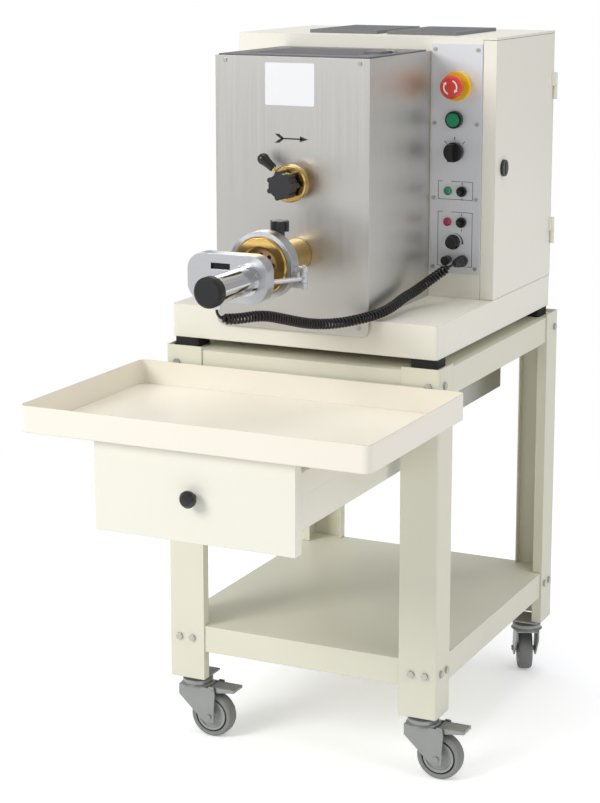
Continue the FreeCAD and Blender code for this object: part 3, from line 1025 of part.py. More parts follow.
# Lid with slots over the vat, hinged at the back of the cover.
LID_Z = "(vat_rim + seat_gap)"
lid_x = ("cover_left + lid_side / 2", "cover_right - lid_side / 2")
lid_plate = block("lid_plate", lid_x, (depth("cover_front + lid_front / 4"), depth("lid_hinge_y - 2")),
                  (LID_Z, "%s + lid_height" % LID_Z))
slot_count = int(aliases["lid_slots"])
lid_ways = [block("lid_slot_%d" % row,
                  ("cover_left + 40", "cover_right - 40"),
                  (depth("cover_front + 40 + (lid_hinge_y - cover_front - 90) * %.4f" % (row / (slot_count - 1))),
                   depth("cover_front + 40 + lid_slot_width + (lid_hinge_y - cover_front - 90) * %.4f"
                         % (row / (slot_count - 1)))),
                  ("%s - 1" % LID_Z, "%s + lid_height + 1" % LID_Z)) for row in range(slot_count)]
lid_grip = block("lid_grip", ("cover_right - 20 - lid_handle_width / 2", "cover_right - 20"),
                 (depth("cover_front + 90"), depth("cover_front + 130")),
                 ("%s + lid_height" % LID_Z, "%s + lid_height + 4" % LID_Z))
lid_barrel = drum("lid_barrel", "X", "3", ("cover_left + 30", depth("lid_hinge_y"), "%s + 3" % LID_Z),
                  "cover_right - cover_left - 60")
node("vat_lid", fuse("vat_lid", cut("lid_grille", lid_plate, *lid_ways), lid_grip, lid_barrel))


# Coiled cable: a short straight lead, close curls along a hanging line, and a lead into the plug.
def cable_route():
    """Places along the middle of the cable, from the motor to the plug, chosen by hand."""
    front, deck = value(FRONT), value(DECK_Z)
    start = FreeCAD.Vector(value(CUT_X), front + value("%s - motor_length + 14" % MOTOR_Y),
                           value("%s - motor_radius - 7" % CUT_Z))
    end = FreeCAD.Vector(aliases["socket_x"], value("%s - plug_length" % PLUG_Y), aliases["fuse_z"])
    down = FreeCAD.Vector(0, 0, -1)
    back = FreeCAD.Vector(0, 1, 0)
    lead = aliases["lead_length"]
    middle = [(16, -262, 39), (40, -214, 41), (54, -158, 29), (63, -108, 17), (77, -70, 9),
              (101, -32, 7), (134, 14, 12), (142, 62, 18), (141, 110, 25), (146, 150, 30),
              (158, 187, 44)]
    points = [start, start + down * lead]
    points += [FreeCAD.Vector(x, front + y, deck + z) for x, y, z in middle]
    points += [end - back * lead, end]
    return points


def rounded(points):
    """Straight runs joined by tangent arcs, each as large as its shorter run allows."""
    edges = []
    radii = []
    last = points[0]
    for before, corner, after in zip(points, points[1:], points[2:]):
        first = corner - before
        second = after - corner
        turn = first.getAngle(second)
        reach = 0.45 * min(first.Length, second.Length)
        radii.append(reach / math.tan(turn / 2))
        first.normalize()
        second.normalize()
        begin = corner - first * reach
        finish = corner + second * reach
        bisector = (second - first).normalize()
        middle = corner + bisector * (radii[-1] / math.cos(turn / 2) - radii[-1])
        edges.append(Part.LineSegment(last, begin).toShape())
        edges.append(Part.Arc(begin, middle, finish).toShape())
        last = finish
    edges.append(Part.LineSegment(last, points[-1]).toShape())
    return Part.Wire(edges), radii


def arc_between(start, tangent, finish):
    chord = finish - start
    size = chord.Length
    chord.normalize()
    lean = tangent - chord * tangent.dot(chord)
    if lean.Length < 1e-6:
        return Part.LineSegment(start, finish).toShape()
    angle = tangent.getAngle(chord)
    lean.normalize()
    middle = (start + finish) * 0.5 + lean * (size / 2 * math.tan(angle / 2))
    return Part.Arc(start, middle, finish).toShape()


def biarc(start, first, finish, last):
    """Two arcs that leave start along first and reach finish along last."""
    chord = finish - start
    both = first + last
    spread = 2 * (1 - first.dot(last))
    if spread < 1e-9:
        reach = chord.dot(chord) / (4 * chord.dot(last))
    else:
        reach = (-chord.dot(both) + math.sqrt(chord.dot(both) ** 2 + spread * chord.dot(chord))) / spread
    joint = (start + first * reach + finish - last * reach) * 0.5
    tangent = (joint - start - first * reach).normalize()
    return [arc_between(start, first, joint), arc_between(joint, tangent, finish)]


def curled(route, name):
    """The cable itself, wound round its hanging line by a steady rate of turns."""
    wire, radii = rounded(route)
    print("cable line radii", [round(radius, 1) for radius in radii])
    count = int(aliases["curls"])
    steps = count * 24
    line = wire.discretize(Number=steps + 1)
    total = wire.Length
    lead = aliases["lead_length"]
    ease = 14.0
    across = FreeCAD.Vector(1, 0, 0)
    winding = total - 2 * lead
    places = []
    for index in range(steps + 1):
        ahead_point = line[min(index + 1, steps)]
        behind_point = line[max(index - 1, 0)]
        direction = (ahead_point - behind_point).normalize()
        across = (across - direction * across.dot(direction)).normalize()
        other = direction.cross(across)
        travelled = total * index / steps
        share = min(max((travelled - lead) / winding, 0), 1)
        swell = min(share, 1 - share) * winding / ease
        swell = min(swell, 1)
        radius = aliases["curl_radius"] * swell * swell * (3 - 2 * swell)
        turn = 2 * math.pi * count * share
        places.append(line[index] + across * (radius * math.cos(turn)) + other * (radius * math.sin(turn)))
    stride = 12
    knots = list(range(0, steps + 1, stride))
    tangents = []
    for index in knots:
        if index == 0:
            tangents.append((route[1] - route[0]).normalize())
        elif index == steps:
            tangents.append((route[-1] - route[-2]).normalize())
        else:
            tangents.append((places[index + 1] - places[index - 1]).normalize())
    edges = []
    for first, second in zip(range(len(knots)), range(1, len(knots))):
        edges += biarc(places[knots[first]], tangents[first], places[knots[second]], tangents[second])
    spine = Part.Wire(edges)
    gap = min((places[a] - places[b]).Length for a in range(48, steps - 48, 3)
              for b in range(a + 18, min(a + 60, steps - 40), 3)) - 2 * aliases["cable_radius"]
    print("cable length", round(spine.Length, 1), "least gap to itself", round(gap, 2))
    axis = (route[1] - route[0]).normalize()
    aside = axis.cross(FreeCAD.Vector(0, 1, 0)).normalize()
    upward = axis.cross(aside)
    corners = []
    for index in range(6):
        angle = math.pi * 2 / 5 * index
        corners.append(route[0] + aside * (aliases["cable_radius"] * math.cos(angle))
                       + upward * (aliases["cable_radius"] * math.sin(angle)))
    ring = Part.makePolygon(corners)
    tube = spine.makePipeShell([ring], True, False)
    print("cable volume over section times length",
          round(tube.Volume / (Part.Face(ring).Area * spine.Length), 4))
    item = doc.addObject("Part::Feature", name)
    item.Shape = tube
    return item


node("coiled_cable", curled(cable_route(), "coiled_cable"))

doc.recompute()
doc.removeObject("Probe")
for item in doc.Objects:
    if "Invalid" in item.State or "Error" in item.State:
        raise SystemExit("%s failed: %s" % (item.Name, item.State))
os.makedirs("parts", exist_ok=True)
for name, item in nodes.items():
    shape = item.Shape
    if shape.isNull() or not shape.isValid() or not shape.Solids:
        raise SystemExit("%s has no valid solid" % name)
    shape.exportStep("parts/%s.step" % name)
print("%d nodes" % len(nodes))
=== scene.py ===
import math

import bmesh
import bpy
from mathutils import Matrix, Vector


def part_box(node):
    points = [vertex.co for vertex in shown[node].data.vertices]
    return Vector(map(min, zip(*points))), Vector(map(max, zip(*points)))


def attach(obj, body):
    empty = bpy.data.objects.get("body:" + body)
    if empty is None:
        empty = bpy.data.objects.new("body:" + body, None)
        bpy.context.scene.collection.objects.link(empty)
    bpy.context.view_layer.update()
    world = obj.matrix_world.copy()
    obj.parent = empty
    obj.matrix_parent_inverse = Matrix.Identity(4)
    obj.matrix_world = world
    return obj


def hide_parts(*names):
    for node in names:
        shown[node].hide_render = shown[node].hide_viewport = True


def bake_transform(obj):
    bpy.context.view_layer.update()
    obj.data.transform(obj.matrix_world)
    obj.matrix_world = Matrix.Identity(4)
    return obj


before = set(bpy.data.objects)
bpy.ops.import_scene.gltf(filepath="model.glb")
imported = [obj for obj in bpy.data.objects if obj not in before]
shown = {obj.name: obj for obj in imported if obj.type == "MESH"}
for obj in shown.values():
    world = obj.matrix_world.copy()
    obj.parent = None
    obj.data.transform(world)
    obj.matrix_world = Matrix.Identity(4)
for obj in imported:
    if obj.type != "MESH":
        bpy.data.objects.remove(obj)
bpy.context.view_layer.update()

scene = bpy.context.scene

# Camera and room. The camera stands well back to the right and a little above, with the frame
# shifted so that upright edges stay upright. Three soft boxes light the machine in a white room,
# on a matt pale floor that runs out to plain white.
STAND_LEFT, STAND_FRONT = -0.253, -0.1165
AZIMUTH, ELEVATION = 0.4457446, 0.1847336
CAMERA_AT = (1673.5, -2968.9, 1408.6)
FOCAL_PIXELS, PICTURE_PIXELS, SENSOR_MM = 2012.2, 803, 36
FRAME_SHIFT = -0.114
FLOOR_HALF = 9
FADE_FROM, FADE_TO = 0.9, 2.2


def place(x, y, z):
    """A point measured in millimetres from the stand's left side, its front and the floor."""
    return Vector((STAND_LEFT + x / 1000, STAND_FRONT + y / 1000, z / 1000))


def linear(code):
    """An sRGB hex colour as the linear colour that a shader takes."""
    parts = [int(code[i:i + 2], 16) / 255 for i in (1, 3, 5)]
    return tuple(c / 12.92 if c <= 0.04045 else ((c + 0.055) / 1.055) ** 2.4 for c in parts) + (1.0,)


def add(tree, kind, values=None, wires=None, **settings):
    """Adds one node: its settings, its input values, and the wires that reach its inputs."""
    made = tree.nodes.new(kind)
    for key, setting in settings.items():
        setattr(made, key, setting)
    for key, number in (values or {}).items():
        made.inputs[key].default_value = number
    for key, source in (wires or {}).items():
        tree.links.new(source, made.inputs[key])
    return made


def lamp(name, where, aim, size, power):
    """A square soft box that looks at a point."""
    data = bpy.data.lights.new(name, "AREA")
    data.size = size
    data.energy = power
    box = bpy.data.objects.new(name, data)
    box.location = where
    box.rotation_euler = (Vector(aim) - Vector(where)).to_track_quat("-Z", "Y").to_euler()
    scene.collection.objects.link(box)


camera_data = bpy.data.cameras.new("camera")
camera_data.lens = FOCAL_PIXELS / PICTURE_PIXELS * SENSOR_MM
camera_data.sensor_width = SENSOR_MM
camera_data.shift_y = FRAME_SHIFT
camera_data.clip_end = 60
camera = bpy.data.objects.new("camera", camera_data)
camera.location = place(*CAMERA_AT)
camera.rotation_euler = (math.pi / 2 - ELEVATION, 0, AZIMUTH)
scene.collection.objects.link(camera)
scene.camera = camera
scene.view_settings.view_transform = "Standard"

# White room: the camera sees pure white, and the machine gets a softer, slightly cool light.
world = bpy.data.worlds.new("white_room")
scene.world = world
world.use_nodes = True
sky = world.node_tree
sky.nodes.clear()
soft_light = add(sky, "ShaderNodeBackground", {"Color": linear("#F4F5FA"), "Strength": 0.5})
bright_wall = add(sky, "ShaderNodeBackground", {"Color": (1, 1, 1, 1), "Strength": 1.0})
rays = add(sky, "ShaderNodeLightPath")
wall_mix = add(sky, "ShaderNodeMixShader",
               wires={0: rays.outputs["Is Camera Ray"], 1: soft_light.outputs[0],
                      2: bright_wall.outputs[0]})
add(sky, "ShaderNodeOutputWorld", wires={0: wall_mix.outputs[0]})

lamp("key_softbox", (-2.0, -3.4, 2.7), (0, 0, 0.7), 1.8, 100)
lamp("side_softbox", (3.0, -0.6, 2.4), (0, 0, 0.8), 2.0, 24)
lamp("top_softbox", (0, 0.3, 3.4), (0, 0, 1.0), 2.0, 30)

floor_mesh = bpy.data.meshes.new("floor")
floor_corners = ((-1, -1), (1, -1), (1, 1), (-1, 1))
floor_mesh.from_pydata([(x * FLOOR_HALF, y * FLOOR_HALF, 0) for x, y in floor_corners], [], [(0, 1, 2, 3)])
floor = bpy.data.objects.new("floor", floor_mesh)
scene.collection.objects.link(floor)
# Studio floor: matt and nearly white, with only the soft shadows under the stand to be seen.
floor_paint = bpy.data.materials.new("pale_studio_floor")
floor_paint.use_nodes = True
boards = floor_paint.node_tree
boards.nodes.clear()
cloud = add(boards, "ShaderNodeTexNoise", {"Scale": 3.0})
tone = add(boards, "ShaderNodeMix", {6: linear("#FAFAFB"), 7: linear("#FFFFFF")},
           {0: cloud.outputs[0]}, data_type="RGBA")
matt = add(boards, "ShaderNodeBsdfDiffuse", wires={"Color": tone.outputs[2]})
glow = add(boards, "ShaderNodeEmission", {"Strength": 0.33})
both = add(boards, "ShaderNodeAddShader", wires={0: matt.outputs[0], 1: glow.outputs[0]})
spot = add(boards, "ShaderNodeTexCoord")
spread = add(boards, "ShaderNodeVectorMath", wires={0: spot.outputs["Object"]}, operation="LENGTH")
away = add(boards, "ShaderNodeMapRange", {1: FADE_FROM, 2: FADE_TO}, {0: spread.outputs["Value"]},
           interpolation_type="SMOOTHSTEP")
backdrop = add(boards, "ShaderNodeEmission", {"Strength": 1.0})
fade = add(boards, "ShaderNodeMixShader",
           wires={0: away.outputs[0], 1: both.outputs[0], 2: backdrop.outputs[0]})
paths = add(boards, "ShaderNodeLightPath")
mirrored = add(boards, "ShaderNodeMath",
               wires={0: paths.outputs["Is Camera Ray"], 1: paths.outputs["Is Glossy Ray"]},
               operation="MAXIMUM")
only_seen = add(boards, "ShaderNodeMixShader",
                wires={0: mirrored.outputs[0], 1: matt.outputs[0], 2: fade.outputs[0]})
add(boards, "ShaderNodeOutputMaterial", wires={0: only_seen.outputs[0]})
floor_mesh.materials.append(floor_paint)

# Coiled flex. A black rubber cable wound in close curls runs from the cutter's motor, round the
# corner of the steel cover, to its plug on the control panel.
FLEX_ROUTE = [(-2, -404.5, 843.5), (-2, -404.5, 829.5), (15, -379.5, 824), (40, -330.5, 825),
              (54, -274.5, 809), (64, -224.5, 795), (79, -186.5, 788), (103, -148.5, 787),
              (135, -102.5, 794), (143, -54.5, 800), (142, -6.5, 807), (146, 33.5, 812),
              (158, 70.5, 826), (184, 103.5, 849), (184, 117.5, 849)]
FLEX_RADIUS = 0.0022
CURL_RADIUS = 0.0068
CURLS = 88
STEPS_PER_CURL = 18
LEAD = 0.014


def shades(code, darker, lighter):
    """The deep and the high tone that a finish drifts between."""
    base = linear(code)[:3]
    deep = tuple(c * (1 - darker) for c in base) + (1,)
    high = tuple(min(1, c * (1 + lighter)) for c in base) + (1,)
    return deep, high


def coated(name, code, roughness, metallic=0.0, mottle=0.06, mottle_mm=40.0, grain_mm=1.0,
           grain_depth=0.02, edge_mm=0.8, coat=0.0):
    """A finish with a slow drift of tone, a fine grain in its skin and softened edges."""
    finish = bpy.data.materials.new(name)
    finish.use_nodes = True
    tree = finish.node_tree
    tree.nodes.clear()
    spot = add(tree, "ShaderNodeTexCoord")
    slow = add(tree, "ShaderNodeTexNoise", {"Scale": 1000 / mottle_mm, "Detail": 3.0},
               {0: spot.outputs["Object"]})
    deep, high = shades(code, mottle, mottle / 2)
    colour = add(tree, "ShaderNodeMix", {6: deep, 7: high}, {0: slow.outputs[0]}, data_type="RGBA")
    fine = add(tree, "ShaderNodeTexNoise", {"Scale": 1000 / grain_mm, "Detail": 2.0},
               {0: spot.outputs["Object"]})
    gloss = add(tree, "ShaderNodeMapRange", {3: roughness * 0.85, 4: min(1, roughness * 1.15)},
                {0: fine.outputs[0]})
    round_edge = add(tree, "ShaderNodeBevel", {"Radius": edge_mm / 1000}, samples=4)
    skin = add(tree, "ShaderNodeBump", {"Strength": 0.35, "Distance": grain_depth / 1000},
               {"Height": fine.outputs[0], "Normal": round_edge.outputs[0]})
    shader = add(tree, "ShaderNodeBsdfPrincipled",
                 {"Metallic": metallic, "Coat Weight": coat, "Coat Roughness": 0.12},
                 {"Base Color": colour.outputs[2], "Roughness": gloss.outputs[0],
                  "Normal": skin.outputs[0]})
    add(tree, "ShaderNodeOutputMaterial", wires={0: shader.outputs[0]})
    return finish


def dress(finish, *names):
    """Gives CAD pieces their finish."""
    for name in names:
        slots = shown[name].material_slots
        for number in range(len(slots)):
            slots[number].material = finish


def new_piece(name, mesh, finish, body=None, smooth=True):
    """Puts a finished mesh into the scene as a piece, which moves with a body if one is named."""
    piece = bpy.data.objects.new(name, mesh)
    scene.collection.objects.link(piece)
    mesh.materials.append(finish)
    if smooth:
        for face in mesh.polygons:
            face.use_smooth = True
    if body:
        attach(piece, body)
    return piece


def spline_points(points):
    """The line of a smooth curve through the middle of a route."""
    data = bpy.data.curves.new("flex_line", "CURVE")
    data.dimensions = "3D"
    line = data.splines.new("NURBS")
    line.points.add(len(points) - 1)
    for point, corner in zip(line.points, points):
        point.co = tuple(c / 1000 for c in corner) + (1,)
    line.order_u = 3
    line.use_endpoint_u = True
    line.resolution_u = 24
    guide = bpy.data.objects.new("flex_line", data)
    scene.collection.objects.link(guide)
    bpy.context.view_layer.update()
    mesh = bpy.data.meshes.new_from_object(guide)
    found = [v.co.copy() for v in mesh.vertices]
    bpy.data.objects.remove(guide)
    bpy.data.meshes.remove(mesh)
    return found


def even(points, count):
    """The same line cut into steps of one length, and how long it is."""
    lengths = [0.0]
    for first, second in zip(points, points[1:]):
        lengths.append(lengths[-1] + (second - first).length)
    result = []
    index = 0
    for step in range(count + 1):
        goal = lengths[-1] * step / count
        while index < len(points) - 2 and lengths[index + 1] < goal:
            index += 1
        gap = lengths[index + 1] - lengths[index]
        share = (goal - lengths[index]) / gap if gap else 0
        result.append(points[index].lerp(points[index + 1], share))
    return result, lengths[-1]


def finished(name, builder):
    """The mesh of a builder, with its faces turned outward."""
    mesh = bpy.data.meshes.new(name)
    bmesh.ops.recalc_face_normals(builder, faces=builder.faces)
    builder.to_mesh(mesh)
    builder.free()
    return mesh


def tube(name, points, radius, sides=8):
    """A round tube along close points, closed at both ends."""
    builder = bmesh.new()
    rings = []
    across = Vector((1, 0, 0))
    for index, point in enumerate(points):
        ahead = (points[min(index + 1, len(points) - 1)] - points[max(index - 1, 0)]).normalized()
        across = (across - ahead * across.dot(ahead)).normalized()
        other = ahead.cross(across)
        rings.append([builder.verts.new(point + across * (radius * math.cos(2 * math.pi * side / sides))
                                        + other * (radius * math.sin(2 * math.pi * side / sides)))
                      for side in range(sides)])
    for first, second in zip(rings, rings[1:]):
        for side in range(sides):
            after = (side + 1) % sides
            builder.faces.new((first[side], first[after], second[after], second[side]))
    builder.faces.new(rings[0][::-1])
    builder.faces.new(rings[-1])
    return finished(name, builder)


steps = CURLS * STEPS_PER_CURL
hanging, reach = even(spline_points(FLEX_ROUTE), steps)
winding = reach - 2 * LEAD
curl_line = []
across = Vector((1, 0, 0))
for index, point in enumerate(hanging):
    ahead = (hanging[min(index + 1, steps)] - hanging[max(index - 1, 0)]).normalized()
    across = (across - ahead * across.dot(ahead)).normalized()
    other = ahead.cross(across)
    share = min(max((reach * index / steps - LEAD) / winding, 0), 1)
    swell = min(1, min(share, 1 - share) * winding / LEAD)
    radius = CURL_RADIUS * swell * swell * (3 - 2 * swell)
    turn = 2 * math.pi * CURLS * share
    curl_line.append(point + across * (radius * math.cos(turn)) + other * (radius * math.sin(turn)))
# Extruded rubber flex: a soft black sheen, with a thin highlight on the back of each curl.
flex_rubber = coated("black_rubber_flex", "#0F0F11", 0.34, mottle=0.2, grain_mm=0.7, edge_mm=0.2)
flex = new_piece("coiled_flex", tube("coiled_flex", curl_line, FLEX_RADIUS), flex_rubber)
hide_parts("coiled_cable")
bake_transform(flex)
# Moulded plug: a duller, slightly greyer black than the flex.
flex_plug = coated("black_moulded_plug", "#1B1B1D", 0.5, mottle=0.12, grain_mm=0.8, edge_mm=0.6)
dress(flex_plug, "cable_plug")

# Stand. Legs and pans are folded steel sheet, powder coated, and bolted together at each corner
# with zinc-plated bolts. The drawer's outer and middle rails are bright plated strip.
# Ivory powder coat: warm and low in gloss, with a faint orange-peel skin. It is the shaded copy of the
# stand's ivory, set darker as painted shade on the legs and pans low under the machine.
stand_ivory_shaded = coated("ivory_powder_coat_painted_shade", "#E2E0CC", 0.42, mottle=0.03, mottle_mm=220, grain_mm=1.6,
                    grain_depth=0.05, edge_mm=1.4)
dress(stand_ivory_shaded, "front_legs", "rear_legs", "lower_shelf", "top_frame")
# Bright zinc: small silvery glints that change from facet to facet.
bright_zinc = coated("bright_zinc_plate", "#B9B9B4", 0.3, metallic=1.0, mottle=0.2, mottle_mm=6,
                     grain_mm=0.6, edge_mm=0.5)
dress(bright_zinc, "fasteners", "outer_rails", "middle_rails")

# Casters. Pressed forks and pedals hang from plates under the legs. Each wheel is a grey rubber
# tread on a moulded nylon core, with a dark groove between them, on an axle through the fork.
CORNERS = ("front_left", "front_right", "rear_left", "rear_right")
REAR_TURN = 25
TREAD_PROFILE = [(30.5, -10), (30.5, -12), (33, -13), (36.5, -12.8), (38.8, -10.5), (39.8, -6), (40, 0),
                 (39.8, 6), (38.8, 10.5), (36.5, 12.8), (33, 13), (30.5, 12), (30.5, 10)]
GROOVE_PROFILE = [(25, -9), (25, -10), (31, -10), (31, 10), (25, 10), (25, 9)]
CORE_PROFILE = [(5.2, -15), (9, -15), (10, -13.5), (10, -9), (14, -8), (22, -9), (24, -12), (27.5, -12.4),
                (27.5, 12.4), (24, 12), (22, 9), (14, 8), (10, 9), (10, 13.5), (9, 15), (5.2, 15)]
# Coated forks: a mid grey, half metallic, with softened edges.
fork_grey = coated("grey_zinc_fork", "#9A9C99", 0.38, metallic=0.55, mottle=0.1, mottle_mm=25,
                   grain_mm=0.9, edge_mm=1.0)
dress(fork_grey, "caster_plates", "brake_pedal_front_left", "brake_pedal_front_right",
      *("caster_fork_" + corner for corner in CORNERS))


def turned(name, points, place_at, axis, sides=64):
    """A turned ring or disc. Points are (radius, distance along the axis), in millimetres."""
    builder = bmesh.new()
    along = Vector(axis).normalized()
    side_way = along.orthogonal().normalized()
    other_way = along.cross(side_way)
    rings = []
    for radius, distance in points:
        centre = Vector(place_at) + along * (distance / 1000)
        if radius == 0:
            rings.append([builder.verts.new(centre)])
            continue
        ring = []
        for side in range(sides):
            angle = 2 * math.pi * side / sides
            ring.append(builder.verts.new(centre + side_way * (radius / 1000 * math.cos(angle))
                                          + other_way * (radius / 1000 * math.sin(angle))))
        rings.append(ring)
    for first, second in zip(rings, rings[1:] + (rings[:1] if len(rings[0]) > 1 else [])):
        if len(first) == 1 and len(second) == 1:
            continue
        for side in range(sides):
            after = (side + 1) % sides
            if len(first) == 1:
                builder.faces.new((first[0], second[side], second[after]))
            elif len(second) == 1:
                builder.faces.new((first[side], first[after], second[0]))
            else:
                builder.faces.new((first[side], first[after], second[after], second[side]))
    return finished(name, builder)


def crisp(piece, angle=35):
    """Smooth shading that breaks at real edges."""
    mesh = piece.data
    mesh.shade_smooth()
    limit = math.radians(angle)
    builder = bmesh.new()
    builder.from_mesh(mesh)
    for edge in builder.edges:
        if len(edge.link_faces) == 2 and edge.calc_face_angle(0) > limit:
            edge.smooth = False
    builder.to_mesh(mesh)
    builder.free()


# Tread rubber: dry and matt. Groove: near black. Nylon core: a smooth, paler grey.
tread_rubber = coated("grey_tread_rubber", "#8B8C88", 0.7, mottle=0.1, mottle_mm=15, grain_mm=1.2,
                      edge_mm=0.6)
groove_black = coated("dark_wheel_groove", "#1D1E1E", 0.7, mottle=0.1, grain_mm=1.0, edge_mm=0.3)
core_nylon = coated("grey_nylon_core", "#A2A4A1", 0.45, mottle=0.05, grain_mm=1.2, edge_mm=0.8)
turned_axis = (math.cos(math.radians(REAR_TURN)), math.sin(math.radians(REAR_TURN)), 0)
for corner in CORNERS:
    wheel = "caster_wheel_" + corner
    low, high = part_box(wheel)
    middle = (Vector(low) + Vector(high)) / 2
    axis = (0, 1, 0) if corner.startswith("front") else turned_axis
    for part, profile, finish in (("tread_", TREAD_PROFILE, tread_rubber),
                                  ("groove_", GROOVE_PROFILE, groove_black),
                                  ("core_", CORE_PROFILE, core_nylon)):
        piece = new_piece(part + corner, turned(part + corner, profile, middle, axis), finish, wheel)
        crisp(piece)
        if part == "core_":
            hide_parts(wheel)

# Drawer. A box of coated sheet runs on telescopic rails under the tray, behind a folded front
# with a black ball knob screwed to its middle.
# Drawer coat: the stand's ivory, a shade paler and glossier; the paler tone is painted light on the drawer
# front, which faces the key light.
drawer_ivory_lit = coated("drawer_ivory_painted_light", "#EDEBDC", 0.36, mottle=0.02, mottle_mm=200, grain_mm=1.5,
                      grain_depth=0.04, edge_mm=1.2)
dress(drawer_ivory_lit, "drawer_front", "drawer_box")
# Phenolic ball: shiny black with one small round highlight.
ball_black = coated("black_phenolic_knob", "#1F1E1F", 0.3, mottle=0.1, mottle_mm=8, grain_mm=0.6,
                    edge_mm=0.5)
dress(ball_black, "drawer_knob")

# Tray. One pressing of enamelled sheet with rounded corners lies loose on the drawer, under the
# die.
# Cream enamel: smooth, with a thin clear gloss and soft edges.
tray_cream = coated("cream_enamel_tray", "#F2ECDD", 0.3, mottle=0.02, mottle_mm=180, grain_mm=2.2,
                    grain_depth=0.03, edge_mm=2.2, coat=0.2)
dress(tray_cream, "tray")

# Machine feet, base and cabinet. The base is a folded pan that stands on four ribbed rubber
# blocks. The cabinet of folded sheet is bolted to it, and its side door hangs on two knuckles.
# Housing coat: pale ivory with a satin gloss and a faint orange peel.
housing_ivory = coated("housing_ivory_coat", "#EFECDE", 0.34, mottle=0.02, mottle_mm=200, grain_mm=1.5,
                       grain_depth=0.04, edge_mm=1.6)
dress(housing_ivory, "base_pan", "cabinet_shell", "side_door")
# Foot rubber: dull black.
foot_rubber = coated("ribbed_foot_rubber", "#161616", 0.65, mottle=0.2, grain_mm=1.0, edge_mm=0.5)
dress(foot_rubber, "machine_feet")

# Gear motor. A cast gearbox with its finned motor stands on the base inside the cabinet, where
# it is seen only with the side door open.
# Machine enamel: blue grey over cast iron, with a coarse skin.
motor_enamel = coated("grey_machine_enamel", "#5C6670", 0.4, mottle=0.08, mottle_mm=30, grain_mm=1.5,
                      grain_depth=0.1, edge_mm=1.5)
dress(motor_enamel, "gearbox", "drive_motor")


def brushed(name, code, roughness, stroke, stroke_mm=60.0, line_mm=0.6, mottle=0.08):
    """Metal rubbed in one direction: long fine lines in tone, gloss and height."""
    finish = bpy.data.materials.new(name)
    finish.use_nodes = True
    tree = finish.node_tree
    tree.nodes.clear()
    spot = add(tree, "ShaderNodeTexCoord")
    scale = [1000 / line_mm] * 3
    scale["XYZ".index(stroke)] = 1000 / stroke_mm
    stretch = add(tree, "ShaderNodeMapping", {"Scale": scale}, {0: spot.outputs["Object"]})
    lines = add(tree, "ShaderNodeTexNoise", {"Scale": 1.0, "Detail": 3.0}, {0: stretch.outputs[0]})
    cloud = add(tree, "ShaderNodeTexNoise", {"Scale": 6.0, "Detail": 2.0}, {0: spot.outputs["Object"]})
    blend = add(tree, "ShaderNodeMath", {1: 0.5}, {0: cloud.outputs[0], 2: lines.outputs[0]},
                operation="MULTIPLY_ADD")
    deep, high = shades(code, mottle, mottle)
    colour = add(tree, "ShaderNodeMix", {6: deep, 7: high}, {0: blend.outputs[0]}, data_type="RGBA")
    gloss = add(tree, "ShaderNodeMapRange", {1: 0.3, 2: 0.7, 3: roughness * 0.8, 4: roughness * 1.25},
                {0: lines.outputs[0]})
    round_edge = add(tree, "ShaderNodeBevel", {"Radius": 0.0008}, samples=4)
    skin = add(tree, "ShaderNodeBump", {"Strength": 0.12, "Distance": 0.00002},
               {"Height": lines.outputs[0], "Normal": round_edge.outputs[0]})
    shader = add(tree, "ShaderNodeBsdfPrincipled", {"Metallic": 1.0, "Anisotropic": 0.5},
                 {"Base Color": colour.outputs[2], "Roughness": gloss.outputs[0],
                  "Normal": skin.outputs[0]})
    add(tree, "ShaderNodeOutputMaterial", wires={0: shader.outputs[0]})
    return finish


# Vat, shafts and cover. The round vat with its paddles and screw sits behind the cover, all of
# stainless steel. The cover is one folded sheet, screwed to the base and cabinet at its corners.
# Cover steel: warm silver with a fine upright satin grain that blurs what it mirrors.
cover_steel = brushed("satin_stainless_cover", "#CDCBC6", 0.4, "Z", stroke_mm=400.0, line_mm=0.8,
                      mottle=0.03)
dress(cover_steel, "front_cover")
# Vat steel: greyer and shinier, ground from front to back.
vat_steel = brushed("ground_stainless_vat", "#B4B3B0", 0.3, "Y")
dress(vat_steel, "vat", "mixer_shaft", "auger", "knife")

# Roof vents and lid. Pressed steel covers with louvres lie on the cabinet's roof, and the lid is
# hinged over the vat. A small bright latch plate is fixed at the lid's right edge.
LATCH_THICK = 0.014
# Vent paint: dark grey with a hammered skin.
vent_grey = coated("dark_grey_vent_paint", "#6E6F71", 0.42, mottle=0.12, mottle_mm=12, grain_mm=1.4,
                   grain_depth=0.08, edge_mm=0.6)
dress(vent_grey, "roof_vents", "vat_lid")


def flat_piece(name, patches, thick, finish, body):
    """Thin flat patches in an XZ plane, such as print or a plate, pushed forward by a thickness."""
    builder = bmesh.new()
    for corners in patches:
        back = [builder.verts.new(corner) for corner in corners]
        front = [builder.verts.new(corner + Vector((0, -thick, 0))) for corner in corners]
        builder.faces.new(front)
        builder.faces.new(back[::-1])
        for index in range(len(corners)):
            after = (index + 1) % len(corners)
            builder.faces.new((front[index], front[after], back[after], back[index]))
    return new_piece(name, finished(name, builder), finish, body, smooth=False)


def patch(y, *corners):
    """The corners (x, z) of a flat patch, in millimetres of the part's own frame."""
    return [Vector((x, y, z)) / 1000 for x, z in corners]


lid_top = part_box("vat_lid")[1][2] * 1000
latch_shape = patch(45, (86, lid_top - 4.5), (106, lid_top - 4.5), (106, lid_top - 0.8), (104, lid_top),
                    (88, lid_top), (86, lid_top - 0.8))
flat_piece("lid_latch", [latch_shape], LATCH_THICK, bright_zinc, "vat_lid")

# Brass hardware. Barrel, hub collar, locking disc and ring nut are turned from brass bar, and
# the die with its seven holes is bronze. The disc's lever ends in a black moulded grip.
LEVER_ROOT = (-0.010, 1.006)
LEVER_WAY = Vector((-0.788, 0, 0.616))
GRIP_START = 0.038
